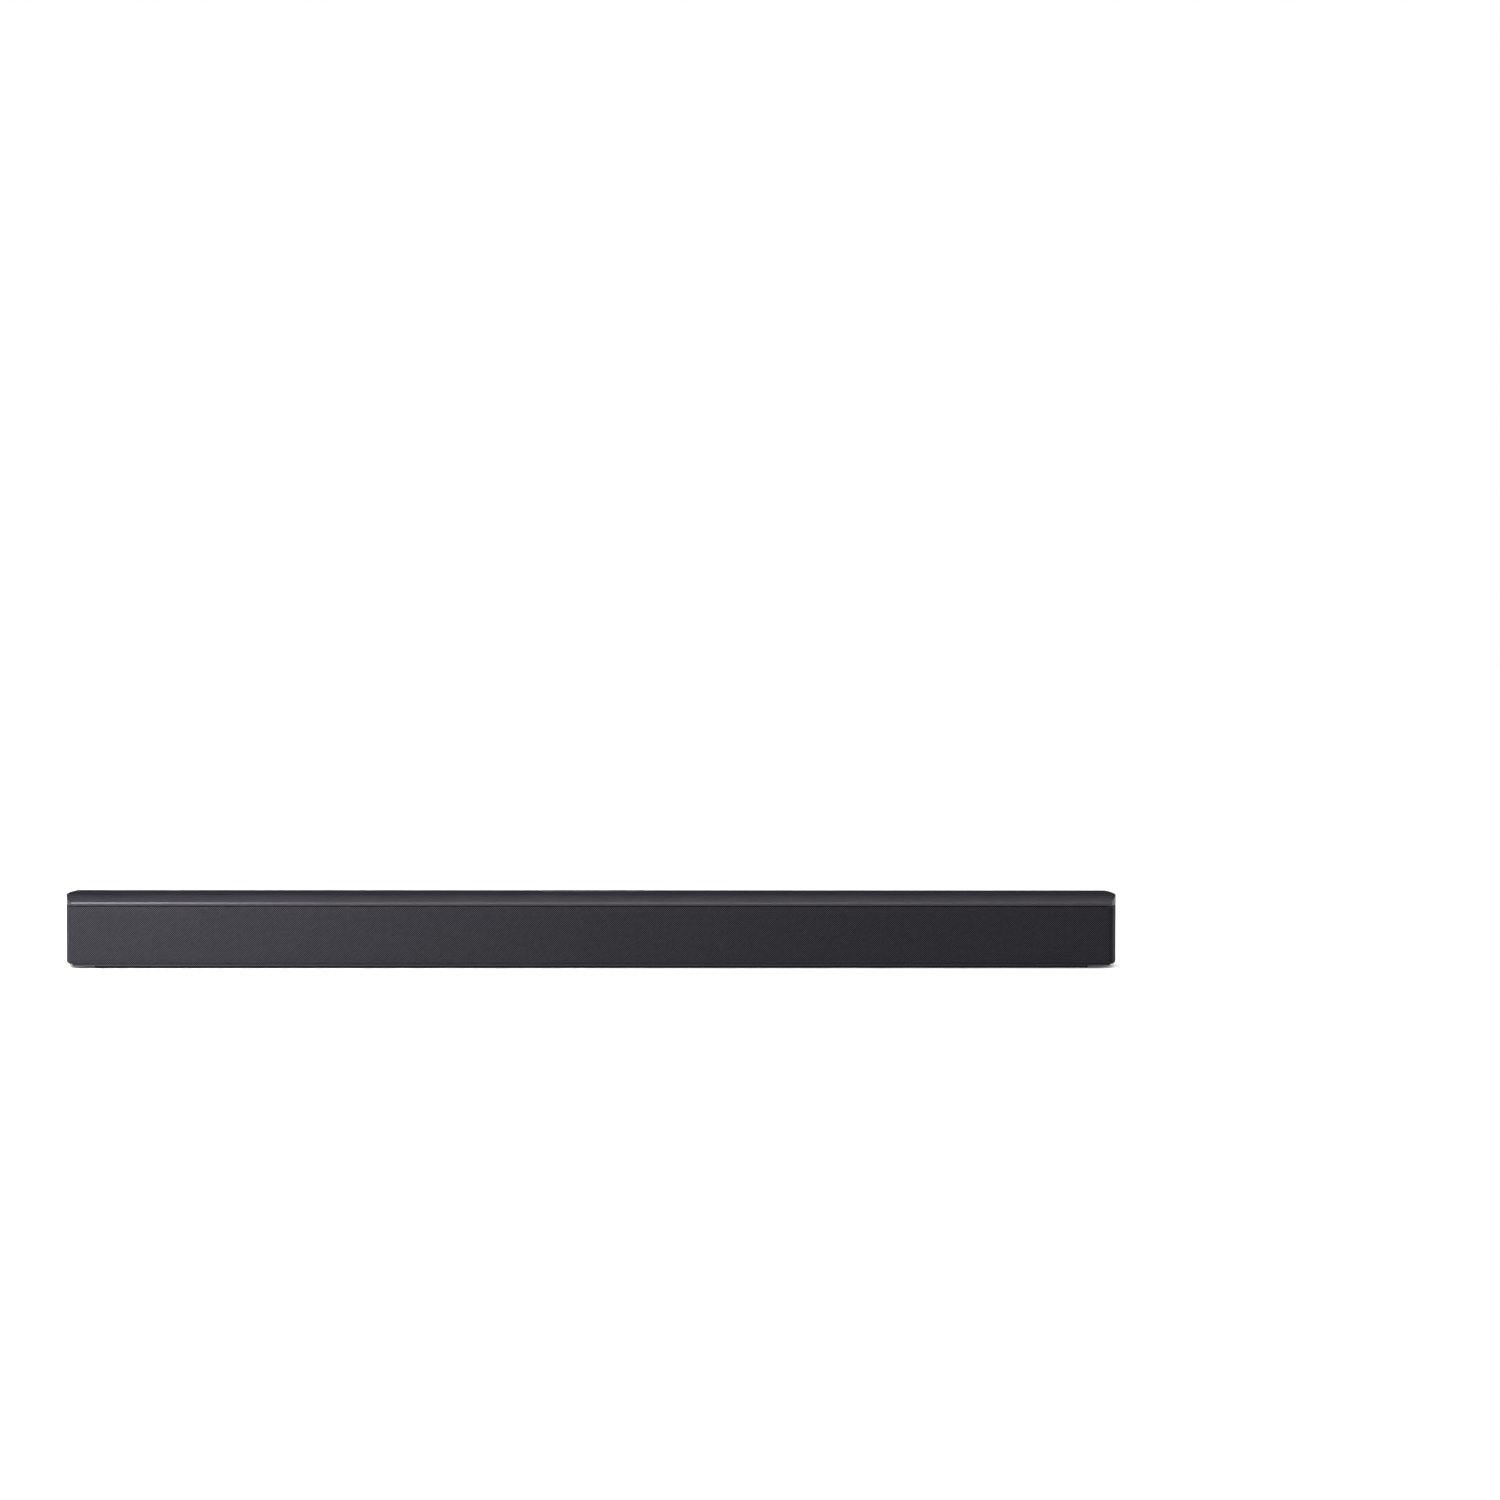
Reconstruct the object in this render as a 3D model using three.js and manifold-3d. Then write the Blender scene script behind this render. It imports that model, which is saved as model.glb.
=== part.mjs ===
// A compact television soundbar: a long low cabinet with a bevelled top deck, a cloth grille
// wrapped round its front and ends, three oblong drivers behind it, four keys in the deck and
// a recessed connector bay at the rear.
//
// Units are millimetres. +Z is up and the front faces -Y. The origin is the middle of the
// footprint, on the surface that the feet stand on.

import * as THREE from 'three';
import { ParametricGeometry } from 'three/addons/geometries/ParametricGeometry.js';
import { mergeVertices } from 'three/addons/utils/BufferGeometryUtils.js';
import Module from 'manifold-3d';

const wasm = await Module();
wasm.setup();

// ---- Driving dimensions -------------------------------------------------------------------

const LENGTH = 860;
const DEPTH = 75;
const HEIGHT = 59;
const FRONT = - DEPTH / 2;
const REAR = DEPTH / 2;
const HALF_LENGTH = LENGTH / 2;
const GAP = 0.3; // left between pieces that rest on each other
const JOIN = 0.1; // how far a rib or a post runs into the wall that it is moulded with

// Seen from above, each end bulges: one arc ahead of the widest line, a flatter one behind it.
const WIDEST_Y = 0.5;
const FRONT_END_ARC = 110;
const REAR_END_ARC = 170;

// Levels, from the feet up.
const PLATE_BOTTOM = 0.5;
const CHASSIS_BOTTOM = 2.3;
const LIP_HEIGHT = 0.9;
const FLOOR_TOP = 4.5;
const DECK_BOTTOM = 51.2;
const SHADOW_GAP = 0.7;
const DECK_TOP = 58.7;
const GRILLE_BOTTOM = CHASSIS_BOTTOM + LIP_HEIGHT + GAP;
const GRILLE_TOP = DECK_BOTTOM - SHADOW_GAP;
const FRAME_TOP = GRILLE_TOP - GAP;
const BODY_TOP = DECK_BOTTOM - 2 * GAP;

// Deck.
const DECK_WALL = 2.2;
const BEVEL_DEPTH = 22;
const NOSE_RADIUS = 0.8;
const FRONT_FACE = 1.9; // the upright front edge, up to where the nose begins to round
const DECK_FRONT_CORNER = 1.5;
const DECK_REAR_CORNER = 5;
const DECK_CEILING = DECK_TOP - DECK_WALL;

// Grille.
const CLOTH_THICKNESS = 0.9;
const FRAME_INSET = CLOTH_THICKNESS + GAP;
const FRAME_THICKNESS = 1.8;
const GRILLE_CORNER = 5;
const GRILLE_REAR_EDGE = 24.4;
const GRILLE_END_ROUNDING = 3;
const FRAME_WINDOWS = 16;
const FRAME_END_MARGIN = 6; // between the last window and the lip's end

// Chassis, rear panel and baffle.
const LIP_HALF_LENGTH = 421.8;
const LIP_SET_BACK = 0.2;
const LIP_CHAMFER = 1;
const PLATE_HALF_LENGTH = 404.6;
const CHASSIS_INSET = FRAME_INSET + FRAME_THICKNESS + GAP;
const CHASSIS_WALL = 2.2;
const CAVITY_INSET = CHASSIS_INSET + CHASSIS_WALL;
const PANEL_INNER_Y = REAR - 2.2;
const BAFFLE_Y = - 27;
const BAFFLE_THICKNESS = 2.5;
const RIB_X = [ - 62, 62, 262 ];
const RIB_THICKNESS = 2;
const RIB_SLOPE = 2; // the fall of a rib's top under the deck's bevel
const RIB_NOTCH_TOP = 12;
const WELL = { x: 392, y: 22, outer: 5, bore: 3.4, top: 44.3, floor: 2, clearance: 1.8 };
const SCREW = { head: 2.75, headHeight: 2.1, shank: 1.4, point: 0.9 };
const SCREW_BOSS = { radius: 3.5, bore: 1.7, blindEnd: 3 };
const VENT = { count: 9, pitch: 9, width: 2.4, bottom: 40.5, top: 48 };
const INSERT = { x: 300, z: 30, radius: 4, boss: 6.4, length: 8, thread: 2 };

// Drivers.
const DRIVER_X = { left: - 330, centre: 0, right: 330 };
const DRIVER_Z = 28.5;
const DRIVER_STRAIGHT = 52;
const FLANGE_RADIUS = 22;
const FLANGE_THICKNESS = 2;
const OPENING_RADIUS = 18;
const CONE_RADIUS = 13.2;
const COIL_RADIUS = 10.5;
const MAGNET_RADIUS = 18;
const CONE_NECK_Z = 9.2;
const BASKET_DEPTH = 20;
const BASKET_NECK = 4; // straight, so that the cone's edge clears it when it moves back
const AROUND = 16; // facets round an oblong or a circle; a multiple of four

// Keys.
const KEY_NAMES = [ 'source', 'volume_down', 'volume_up', 'power' ];
const KEY_PITCH = 22.9;
const KEY_SIZE = { x: 14, y: 9, corner: 1.8 };
const KEY_Y = 29;
const KEY_TRAVEL = 0.4;
const STRIP = { x: 85, y: 12, corner: 2.2, bottom: 57.6, top: 58.9 };
const STRIP_OPENING = { halfX: 41, halfY: 4.3 }; // in the deck, under the strip
const KEY_BOARD = { halfX: 50, front: - 5, rear: 5.4, top: 49.6, thickness: 1.6 };
const KEY_BOARD_BOSS = { x: 46, radius: 2.5 };
const SWITCH = { half: 3, height: 3.3, plunger: 1.7, top: 4.3 };

// Connector bay and main board.
const BAY = { left: 88, right: 212, front: 13, bottom: 6, top: 34, wall: 2 };
const BAY_FLANGE = { side: 8, top: 4 }; // the rim that closes the notch in the rear panel
const BOARD = { left: 66, right: 250, front: - 22, rear: 12.5, bottom: 12.4, top: 14 };
const STANDOFF = { radius: 3, fromEnd: 6, rows: [ - 18, - 3 ] }; // the sockets hold the board's rear edge
const SOCKET_FACE = BAY.front + BAY.wall;
const SOCKET_X = { dc: 104, hdmi: 130, usb: 158, optical: 186 };

// ---- Materials ----------------------------------------------------------------------------

function material( color, roughness, metalness = 0 ) {

	return new THREE.MeshStandardMaterial( { color, roughness, metalness } );

}

const FINISH = {
	deck: () => material( 0x24232b, 0.45 ),
	cloth: () => material( 0x1d1c22, 0.9 ),
	housing: () => material( 0x151518, 0.6 ),
	plate: () => material( 0x0f0f11, 0.5 ),
	rubber: () => material( 0x0b0b0c, 0.95 ),
	key: () => material( 0x34333c, 0.55 ),
	board: () => material( 0x14502f, 0.5 ),
	steel: () => material( 0x8b8d92, 0.35, 0.9 ),
	aluminium: () => material( 0xb5b8bd, 0.35, 0.95 ),
	brass: () => material( 0xb08d45, 0.35, 0.95 ),
	copper: () => material( 0x9a5a32, 0.4, 0.7 ),
	ferrite: () => material( 0x2b2c30, 0.7, 0.2 ),
	paper: () => material( 0x1a1a1c, 0.9 ),
	suspension: () => material( 0xb59a5a, 0.95 ),
	socket: () => material( 0x0c0c0d, 0.5 ),
	lens: () => material( 0x2a0c0c, 0.2 ),
	cable: () => material( 0x7a1414, 0.6 ),
};

// ---- Solids -------------------------------------------------------------------------------

// A closed geometry as a solid: shared vertices merged, collapsed triangles dropped.
function toSolid( geometry ) {

	const bare = geometry.clone();
	bare.deleteAttribute( 'normal' );
	bare.deleteAttribute( 'uv' );
	const merged = mergeVertices( bare, 1e-4 );
	const index = merged.index.array;
	const triangles = [];
	for ( let i = 0; i < index.length; i += 3 ) {

		const [ a, b, c ] = [ index[ i ], index[ i + 1 ], index[ i + 2 ] ];
		if ( a !== b && b !== c && c !== a ) triangles.push( a, b, c );

	}

	return new wasm.Manifold( new wasm.Mesh( {
		numProp: 3,
		vertProperties: new Float32Array( merged.attributes.position.array ),
		triVerts: new Uint32Array( triangles ),
	} ) );

}

function toMesh( name, solid, finish ) {

	const { vertProperties, triVerts } = solid.getMesh();
	const geometry = new THREE.BufferGeometry();
	geometry.setAttribute( 'position', new THREE.BufferAttribute( vertProperties, 3 ) );
	geometry.setIndex( new THREE.BufferAttribute( triVerts, 1 ) );
	geometry.computeVertexNormals();
	const mesh = new THREE.Mesh( geometry, finish() );
	mesh.name = name;
	return mesh;

}

function box( x, y, z ) {

	const geometry = new THREE.BoxGeometry( x[ 1 ] - x[ 0 ], y[ 1 ] - y[ 0 ], z[ 1 ] - z[ 0 ] );
	geometry.translate( ( x[ 0 ] + x[ 1 ] ) / 2, ( y[ 0 ] + y[ 1 ] ) / 2, ( z[ 0 ] + z[ 1 ] ) / 2 );
	return toSolid( geometry );

}

// An outline drawn in the XY plane, extruded from one height to another.
function prism( shape, bottom, top, arcSteps = 4 ) {

	const geometry = new THREE.ExtrudeGeometry( shape, {
		depth: top - bottom,
		bevelEnabled: false,
		curveSegments: arcSteps,
	} );
	geometry.translate( 0, 0, bottom );
	return toSolid( geometry );

}

// The same with an outline drawn in YZ and extruded along X, or drawn in XZ and extruded along Y.
function prismAlongX( shape, left, right, arcSteps = 4 ) {

	const geometry = new THREE.ExtrudeGeometry( shape, {
		depth: right - left,
		bevelEnabled: false,
		curveSegments: arcSteps,
	} );
	geometry.applyMatrix4( new THREE.Matrix4().makeBasis(
		new THREE.Vector3( 0, 1, 0 ),
		new THREE.Vector3( 0, 0, 1 ),
		new THREE.Vector3( 1, 0, 0 ),
	) );
	geometry.translate( left, 0, 0 );
	return toSolid( geometry );

}

function prismAlongY( shape, front, rear, arcSteps = 4 ) {

	const geometry = new THREE.ExtrudeGeometry( shape, {
		depth: rear - front,
		bevelEnabled: false,
		curveSegments: arcSteps,
	} );
	geometry.rotateX( Math.PI / 2 );
	geometry.translate( 0, rear, 0 );
	return toSolid( geometry );

}

// An upright cylinder, and one that lies along Y.
function post( radius, x, y, bottom, top, facets = 12 ) {

	const geometry = new THREE.CylinderGeometry( radius, radius, top - bottom, facets );
	geometry.rotateX( Math.PI / 2 );
	geometry.translate( x, y, ( top + bottom ) / 2 );
	return toSolid( geometry );

}

function rodAlongY( radius, x, z, front, rear, facets = 12 ) {

	const geometry = new THREE.CylinderGeometry( radius, radius, rear - front, facets );
	geometry.translate( x, ( front + rear ) / 2, z );
	return toSolid( geometry );

}

// ---- Outlines -----------------------------------------------------------------------------

function polygon( points ) {

	return new THREE.Shape( points.map( ( [ x, y ] ) => new THREE.Vector2( x, y ) ) );

}

function roundedRectangle( width, height, corner, x = 0, y = 0 ) {

	const [ a, b ] = [ width / 2 - corner, height / 2 - corner ];
	const shape = new THREE.Shape();
	shape.absarc( x + a, y - b, corner, - Math.PI / 2, 0 );
	shape.absarc( x + a, y + b, corner, 0, Math.PI / 2 );
	shape.absarc( x - a, y + b, corner, Math.PI / 2, Math.PI );
	shape.absarc( x - a, y - b, corner, Math.PI, 1.5 * Math.PI );
	shape.closePath();
	return shape;

}

// Where a corner of the given radius touches both a straight edge at y and an end arc.
function cornerCentre( y, corner, arcRadius, arcX, side ) {

	const centreY = y - side * corner;
	const centreX = arcX + Math.sqrt( ( arcRadius - corner ) ** 2 - ( centreY - WIDEST_Y ) ** 2 );
	return { x: centreX, y: centreY, angle: Math.atan2( centreY - WIDEST_Y, centreX - arcX ) };

}

// How far the bar's end reaches at a given y, drawn in by an inset.
function endX( y, inset ) {

	const arc = y < WIDEST_Y ? FRONT_END_ARC : REAR_END_ARC;
	return HALF_LENGTH - arc + Math.sqrt( ( arc - inset ) ** 2 - ( y - WIDEST_Y ) ** 2 );

}

// The bar seen from above, drawn in by an inset, between a front and a rear edge.
function barOutline( { inset = 0, front = FRONT, rear = REAR, frontCorner = 0.5, rearCorner = 0.5 } ) {

	const frontX = HALF_LENGTH - FRONT_END_ARC;
	const rearX = HALF_LENGTH - REAR_END_ARC;
	const frontArc = FRONT_END_ARC - inset;
	const rearArc = REAR_END_ARC - inset;
	const f = cornerCentre( front, frontCorner, frontArc, frontX, - 1 );
	const r = cornerCentre( rear, rearCorner, rearArc, rearX, 1 );
	const shape = new THREE.Shape();
	shape.absarc( f.x, f.y, frontCorner, - Math.PI / 2, f.angle );
	shape.absarc( frontX, WIDEST_Y, frontArc, f.angle, 0 );
	shape.absarc( rearX, WIDEST_Y, rearArc, 0, r.angle );
	shape.absarc( r.x, r.y, rearCorner, r.angle, Math.PI / 2 );
	shape.absarc( - r.x, r.y, rearCorner, Math.PI / 2, Math.PI - r.angle );
	shape.absarc( - rearX, WIDEST_Y, rearArc, Math.PI - r.angle, Math.PI );
	shape.absarc( - frontX, WIDEST_Y, frontArc, Math.PI, Math.PI - f.angle );
	shape.absarc( - f.x, f.y, frontCorner, Math.PI - f.angle, 1.5 * Math.PI );
	shape.closePath();
	return shape;

}

// The grille and the housing behind it seen from the front: the lower corners are rounded.
function roundedUnderside( inset, bottom ) {

	const radius = GRILLE_END_ROUNDING - inset;
	const x = HALF_LENGTH - inset - radius;
	const shape = new THREE.Shape();
	shape.absarc( x, bottom + radius, radius, - Math.PI / 2, 0 );
	shape.lineTo( HALF_LENGTH - inset, HEIGHT + 1 );
	shape.lineTo( inset - HALF_LENGTH, HEIGHT + 1 );
	shape.absarc( - x, bottom + radius, radius, Math.PI, 1.5 * Math.PI );
	shape.closePath();
	return shape;

}

// ---- Top deck -----------------------------------------------------------------------------

const NOSE_Z = DECK_BOTTOM + FRONT_FACE;
const NOSE_TO_CREASE = new THREE.Vector2( BEVEL_DEPTH - NOSE_RADIUS, DECK_TOP - NOSE_Z );
const BEVEL_ANGLE = NOSE_TO_CREASE.angle() - Math.asin( NOSE_RADIUS / NOSE_TO_CREASE.length() );

// The deck's section: an upright front edge, a round nose, the long bevel, the flat top and a rounded
// rear edge.
function deckSection() {

	const rearEdge = 1.5;
	const shape = new THREE.Shape();
	shape.moveTo( REAR, DECK_BOTTOM );
	shape.lineTo( REAR, DECK_TOP - rearEdge );
	shape.absarc( REAR - rearEdge, DECK_TOP - rearEdge, rearEdge, 0, Math.PI / 2 );
	shape.lineTo( FRONT + BEVEL_DEPTH, DECK_TOP );
	shape.absarc( FRONT + NOSE_RADIUS, NOSE_Z, NOSE_RADIUS, Math.PI / 2 + BEVEL_ANGLE, Math.PI );
	shape.lineTo( FRONT, DECK_BOTTOM );
	shape.closePath();
	return shape;

}

function deckHollowSection() {

	const open = DECK_BOTTOM - 5;
	const front = FRONT + DECK_WALL;
	const rear = REAR - DECK_WALL;
	const run = BEVEL_DEPTH - DECK_WALL;
	return polygon( [
		[ front, open ],
		[ rear, open ],
		[ rear, DECK_CEILING ],
		[ FRONT + BEVEL_DEPTH, DECK_CEILING ],
		[ front, DECK_CEILING - run * Math.tan( BEVEL_ANGLE ) ],
	] );

}

function topCover() {

	const corners = { frontCorner: DECK_FRONT_CORNER, rearCorner: DECK_REAR_CORNER };
	const outside = prism( barOutline( corners ), DECK_BOTTOM, HEIGHT + 1 )
		.intersect( prismAlongX( deckSection(), - LENGTH, LENGTH ) );
	const hollowPlan = barOutline( { inset: DECK_WALL, front: FRONT + DECK_WALL, rear: REAR - DECK_WALL } );
	const hollow = prism( hollowPlan, DECK_BOTTOM - 4, HEIGHT + 1 )
		.intersect( prismAlongX( deckHollowSection(), - LENGTH, LENGTH ) );
	const recess = roundedRectangle( STRIP.x + 2 * GAP, STRIP.y + 2 * GAP, STRIP.corner + GAP, 0, KEY_Y );
	const opening = box(
		[ - STRIP_OPENING.halfX, STRIP_OPENING.halfX ],
		[ KEY_Y - STRIP_OPENING.halfY, KEY_Y + STRIP_OPENING.halfY ],
		[ DECK_CEILING - 1, STRIP.bottom ],
	);
	let cover = outside.subtract( hollow )
		.subtract( prism( recess, STRIP.bottom - GAP, HEIGHT + 1, 2 ) )
		.subtract( opening );
	const bossTop = DECK_CEILING + JOIN;
	for ( const side of [ - 1, 1 ] ) {

		const boardBossX = side * KEY_BOARD_BOSS.x;
		const boardBoss = post( KEY_BOARD_BOSS.radius, boardBossX, KEY_Y, KEY_BOARD.top + GAP, bossTop );
		const screwBoss = post( SCREW_BOSS.radius, side * WELL.x, WELL.y, WELL.top + GAP, bossTop );
		const boreTop = DECK_CEILING - SCREW_BOSS.blindEnd;
		const screwBore = post( SCREW_BOSS.bore, side * WELL.x, WELL.y, WELL.top, boreTop );
		cover = cover.add( boardBoss ).add( screwBoss ).subtract( screwBore );

	}

	return toMesh( 'top_cover', cover, FINISH.deck );

}

// ---- Grille -------------------------------------------------------------------------------

// A band that wraps the front and both ends, between two insets from the bar's outline.
function wrap( inner, outer, bottom, top, corner, rearEdge ) {

	const outside = barOutline( { inset: outer, front: FRONT + outer, frontCorner: corner - outer } );
	const inside = barOutline( {
		inset: inner,
		front: FRONT + inner,
		rear: REAR + 10,
		frontCorner: corner - inner,
	} );
	return prism( outside, bottom, top )
		.subtract( prism( inside, bottom - 1, top + 1 ) )
		.subtract( box( [ - LENGTH, LENGTH ], [ rearEdge, DEPTH ], [ bottom - 1, top + 1 ] ) )
		.intersect( prismAlongY( roundedUnderside( outer, bottom ), - DEPTH, DEPTH ) );

}

function grilleCloth() {

	const cloth = wrap( CLOTH_THICKNESS, 0, GRILLE_BOTTOM, GRILLE_TOP, GRILLE_CORNER, GRILLE_REAR_EDGE );
	return toMesh( 'grille_cloth', cloth, FINISH.cloth );

}

// The frame is a band with tall windows, so that sound passes through it.
function grilleFrame() {

	const inner = FRAME_INSET + FRAME_THICKNESS;
	const rail = 5.5;
	const halfBar = 2;
	let frame = wrap( inner, FRAME_INSET, GRILLE_BOTTOM, FRAME_TOP, GRILLE_CORNER, GRILLE_REAR_EDGE );
	const pitch = 2 * ( LIP_HALF_LENGTH - FRAME_END_MARGIN ) / FRAME_WINDOWS;
	for ( let i = 0; i < FRAME_WINDOWS; i ++ ) {

		const x = ( i - ( FRAME_WINDOWS - 1 ) / 2 ) * pitch;
		const halfWidth = pitch / 2 - halfBar;
		const window = box(
			[ x - halfWidth, x + halfWidth ],
			[ FRONT, FRONT + inner + GAP ],
			[ GRILLE_BOTTOM + rail, FRAME_TOP - rail ],
		);
		frame = frame.subtract( window );

	}

	return toMesh( 'grille_frame', frame, FINISH.housing );

}

// ---- Lower chassis ------------------------------------------------------------------------

// A chamber rib, cut to the slope of the deck above it, with a cable notch at the rear.
function chamberRib( x ) {

	const front = BAFFLE_Y + BAFFLE_THICKNESS + GAP;
	const rear = PANEL_INNER_Y - GAP;
	const top = DECK_CEILING - GAP;
	const rib = prismAlongX( polygon( [
		[ front, FLOOR_TOP - JOIN ],
		[ rear, FLOOR_TOP - JOIN ],
		[ rear, top ],
		[ FRONT + BEVEL_DEPTH + 1, top ],
		[ front, top - RIB_SLOPE ],
	] ), x - RIB_THICKNESS / 2, x + RIB_THICKNESS / 2 );
	const notchWidth = [ x - RIB_THICKNESS, x + RIB_THICKNESS ];
	return rib.subtract( box( notchWidth, [ WELL.y, rear - 1 ], [ FLOOR_TOP, RIB_NOTCH_TOP ] ) );

}

function lowerChassis() {

	const lipFront = FRONT + LIP_SET_BACK;
	const lip = prism( polygon( [
		[ - LIP_HALF_LENGTH, lipFront + LIP_CHAMFER ],
		[ - LIP_HALF_LENGTH + LIP_CHAMFER, lipFront ],
		[ LIP_HALF_LENGTH - LIP_CHAMFER, lipFront ],
		[ LIP_HALF_LENGTH, lipFront + LIP_CHAMFER ],
		[ LIP_HALF_LENGTH, REAR ],
		[ - LIP_HALF_LENGTH, REAR ],
	] ), CHASSIS_BOTTOM, CHASSIS_BOTTOM + LIP_HEIGHT );
	const tubFront = FRONT + CHASSIS_INSET;
	const tub = prism(
		barOutline( { inset: CHASSIS_INSET, front: tubFront, frontCorner: 1.5 } ),
		CHASSIS_BOTTOM + LIP_HEIGHT - JOIN,
		BODY_TOP,
	);
	const postInset = GAP / 2;
	const postOutline = barOutline( { inset: postInset, rearCorner: DECK_REAR_CORNER } );
	const postUnderside = roundedUnderside( postInset, GRILLE_BOTTOM );
	const cornerPosts = prism( postOutline, GRILLE_BOTTOM, BODY_TOP )
		.intersect( prismAlongY( postUnderside, GRILLE_REAR_EDGE + GAP, REAR ) );
	const cavity = barOutline( { inset: CAVITY_INSET, front: FRONT - 5, rear: REAR + 5 } );
	let chassis = lip.add( tub ).add( cornerPosts )
		.subtract( prism( cavity, FLOOR_TOP, HEIGHT ) );
	for ( const x of RIB_X ) chassis = chassis.add( chamberRib( x ) );
	for ( const x of [ BOARD.left + STANDOFF.fromEnd, BOARD.right - STANDOFF.fromEnd ] ) {

		for ( const y of STANDOFF.rows ) {

			chassis = chassis.add( post( STANDOFF.radius, x, y, FLOOR_TOP - JOIN, BOARD.bottom - GAP, 8 ) );

		}

	}

	for ( const side of [ - 1, 1 ] ) {

		const x = side * WELL.x;
		chassis = chassis.add( post( WELL.outer, x, WELL.y, FLOOR_TOP - JOIN, WELL.top ) )
			.subtract( post( WELL.bore, x, WELL.y, 0, WELL.top - WELL.floor ) )
			.subtract( post( WELL.clearance, x, WELL.y, WELL.top - WELL.floor - 1, WELL.top + 1 ) );

	}

	return toMesh( 'lower_chassis', chassis, FINISH.housing );

}

// A screw that holds the deck down: it is driven from below, up the well and into the deck's boss.
function caseScrew( name, side ) {

	const edge = 0.5;
	const headTop = WELL.top - WELL.floor - GAP;
	const length = DECK_CEILING - SCREW_BOSS.blindEnd - 2 * GAP - headTop + SCREW.headHeight;
	const profile = [
		[ 0, 0 ],
		[ SCREW.head - edge, 0 ],
		[ SCREW.head, edge ],
		[ SCREW.head, SCREW.headHeight ],
		[ SCREW.shank, SCREW.headHeight ],
		[ SCREW.shank, length - edge ],
		[ SCREW.point, length ],
		[ 0, length ],
	];
	const geometry = new THREE.LatheGeometry( profile.map( ( [ r, z ] ) => new THREE.Vector2( r, z ) ), 12 );
	geometry.rotateX( Math.PI / 2 );
	const [ arm, halfWidth, depth ] = [ 1.6, 0.4, 1.2 ];
	const recess = box( [ - arm, arm ], [ - halfWidth, halfWidth ], [ - 1, depth ] )
		.add( box( [ - halfWidth, halfWidth ], [ - arm, arm ], [ - 1, depth ] ) );
	const mesh = toMesh( name, toSolid( geometry ).subtract( recess ), FINISH.steel );
	mesh.position.set( side * WELL.x, WELL.y, headTop - SCREW.headHeight );
	return mesh;

}

// ---- Rear panel ---------------------------------------------------------------------------

function rearPanel() {

	const halfLength = endX( REAR, CAVITY_INSET ) - 2 * GAP;
	let panel = box( [ - halfLength, halfLength ], [ PANEL_INNER_Y, REAR ], [ FLOOR_TOP + GAP, BODY_TOP ] );
	for ( const side of [ - 1, 1 ] ) {

		const x = side * INSERT.x;
		panel = panel.add( rodAlongY( INSERT.boss, x, INSERT.z, REAR - INSERT.length, REAR - 1 ) )
			.subtract( rodAlongY( INSERT.radius + GAP, x, INSERT.z, 0, REAR + 1, 16 ) );

	}

	const notch = box(
		[ BAY.left - BAY_FLANGE.side - GAP, BAY.right + BAY_FLANGE.side + GAP ],
		[ 0, REAR + 1 ],
		[ 0, BAY.top + BAY_FLANGE.top + GAP ],
	);
	panel = panel.subtract( notch );
	for ( let i = 0; i < VENT.count; i ++ ) {

		const x = ( BAY.left + BAY.right ) / 2 + ( i - ( VENT.count - 1 ) / 2 ) * VENT.pitch;
		const slotX = [ x - VENT.width / 2, x + VENT.width / 2 ];
		panel = panel.subtract( box( slotX, [ 0, REAR + 1 ], [ VENT.bottom, VENT.top ] ) );

	}

	return toMesh( 'rear_panel', panel, FINISH.housing );

}

// A blind threaded insert, flush with the rear panel.
function wallInsert( name, side ) {

	const blindEnd = 2;
	const profile = [
		[ 0, 0 ],
		[ INSERT.radius, 0 ],
		[ INSERT.radius, INSERT.length ],
		[ INSERT.thread, INSERT.length ],
		[ INSERT.thread, blindEnd ],
		[ 0, blindEnd ],
	];
	const geometry = new THREE.LatheGeometry( profile.map( ( [ r, y ] ) => new THREE.Vector2( r, y ) ), 16 );
	const mesh = toMesh( name, toSolid( geometry ), FINISH.brass );
	mesh.position.set( side * INSERT.x, REAR - INSERT.length, INSERT.z );
	return mesh;

}

// ---- Front baffle -------------------------------------------------------------------------

function oblong( straight, radius ) {

	const shape = new THREE.Shape();
	shape.absarc( straight / 2, 0, radius, - Math.PI / 2, Math.PI / 2 );
	shape.absarc( - straight / 2, 0, radius, Math.PI / 2, 1.5 * Math.PI );
	shape.closePath();
	return shape;

}

function frontBaffle() {

	const halfLength = endX( BAFFLE_Y, CAVITY_INSET ) - 2 * GAP;
	let baffle = box(
		[ - halfLength, halfLength ],
		[ BAFFLE_Y, BAFFLE_Y + BAFFLE_THICKNESS ],
		[ FLOOR_TOP + GAP, DECK_BOTTOM + GAP ],
	);
	for ( const x of Object.values( DRIVER_X ) ) {

		const hole = prismAlongY( oblong( DRIVER_STRAIGHT, OPENING_RADIUS ), - DEPTH, 0, 5 );
		baffle = baffle.subtract( hole.translate( x, 0, DRIVER_Z ) );

	}

	return toMesh( 'front_baffle', baffle, FINISH.housing );

}

// ---- Drivers ------------------------------------------------------------------------------
//
// Each driver is built round its own axis: X runs along the bar, and Z runs backwards from the
// baffle's front face. A turned group then lays it into the bar.

// A section's corners, listed so that the surface they sweep faces outwards.
function facingOut( corners, outwards ) {

	const outline = corners.map( ( { radius, z } ) => new THREE.Vector2( radius, z ) );
	return THREE.ShapeUtils.isClockWise( outline ) === outwards ? corners : [ ...corners ].reverse();

}

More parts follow.
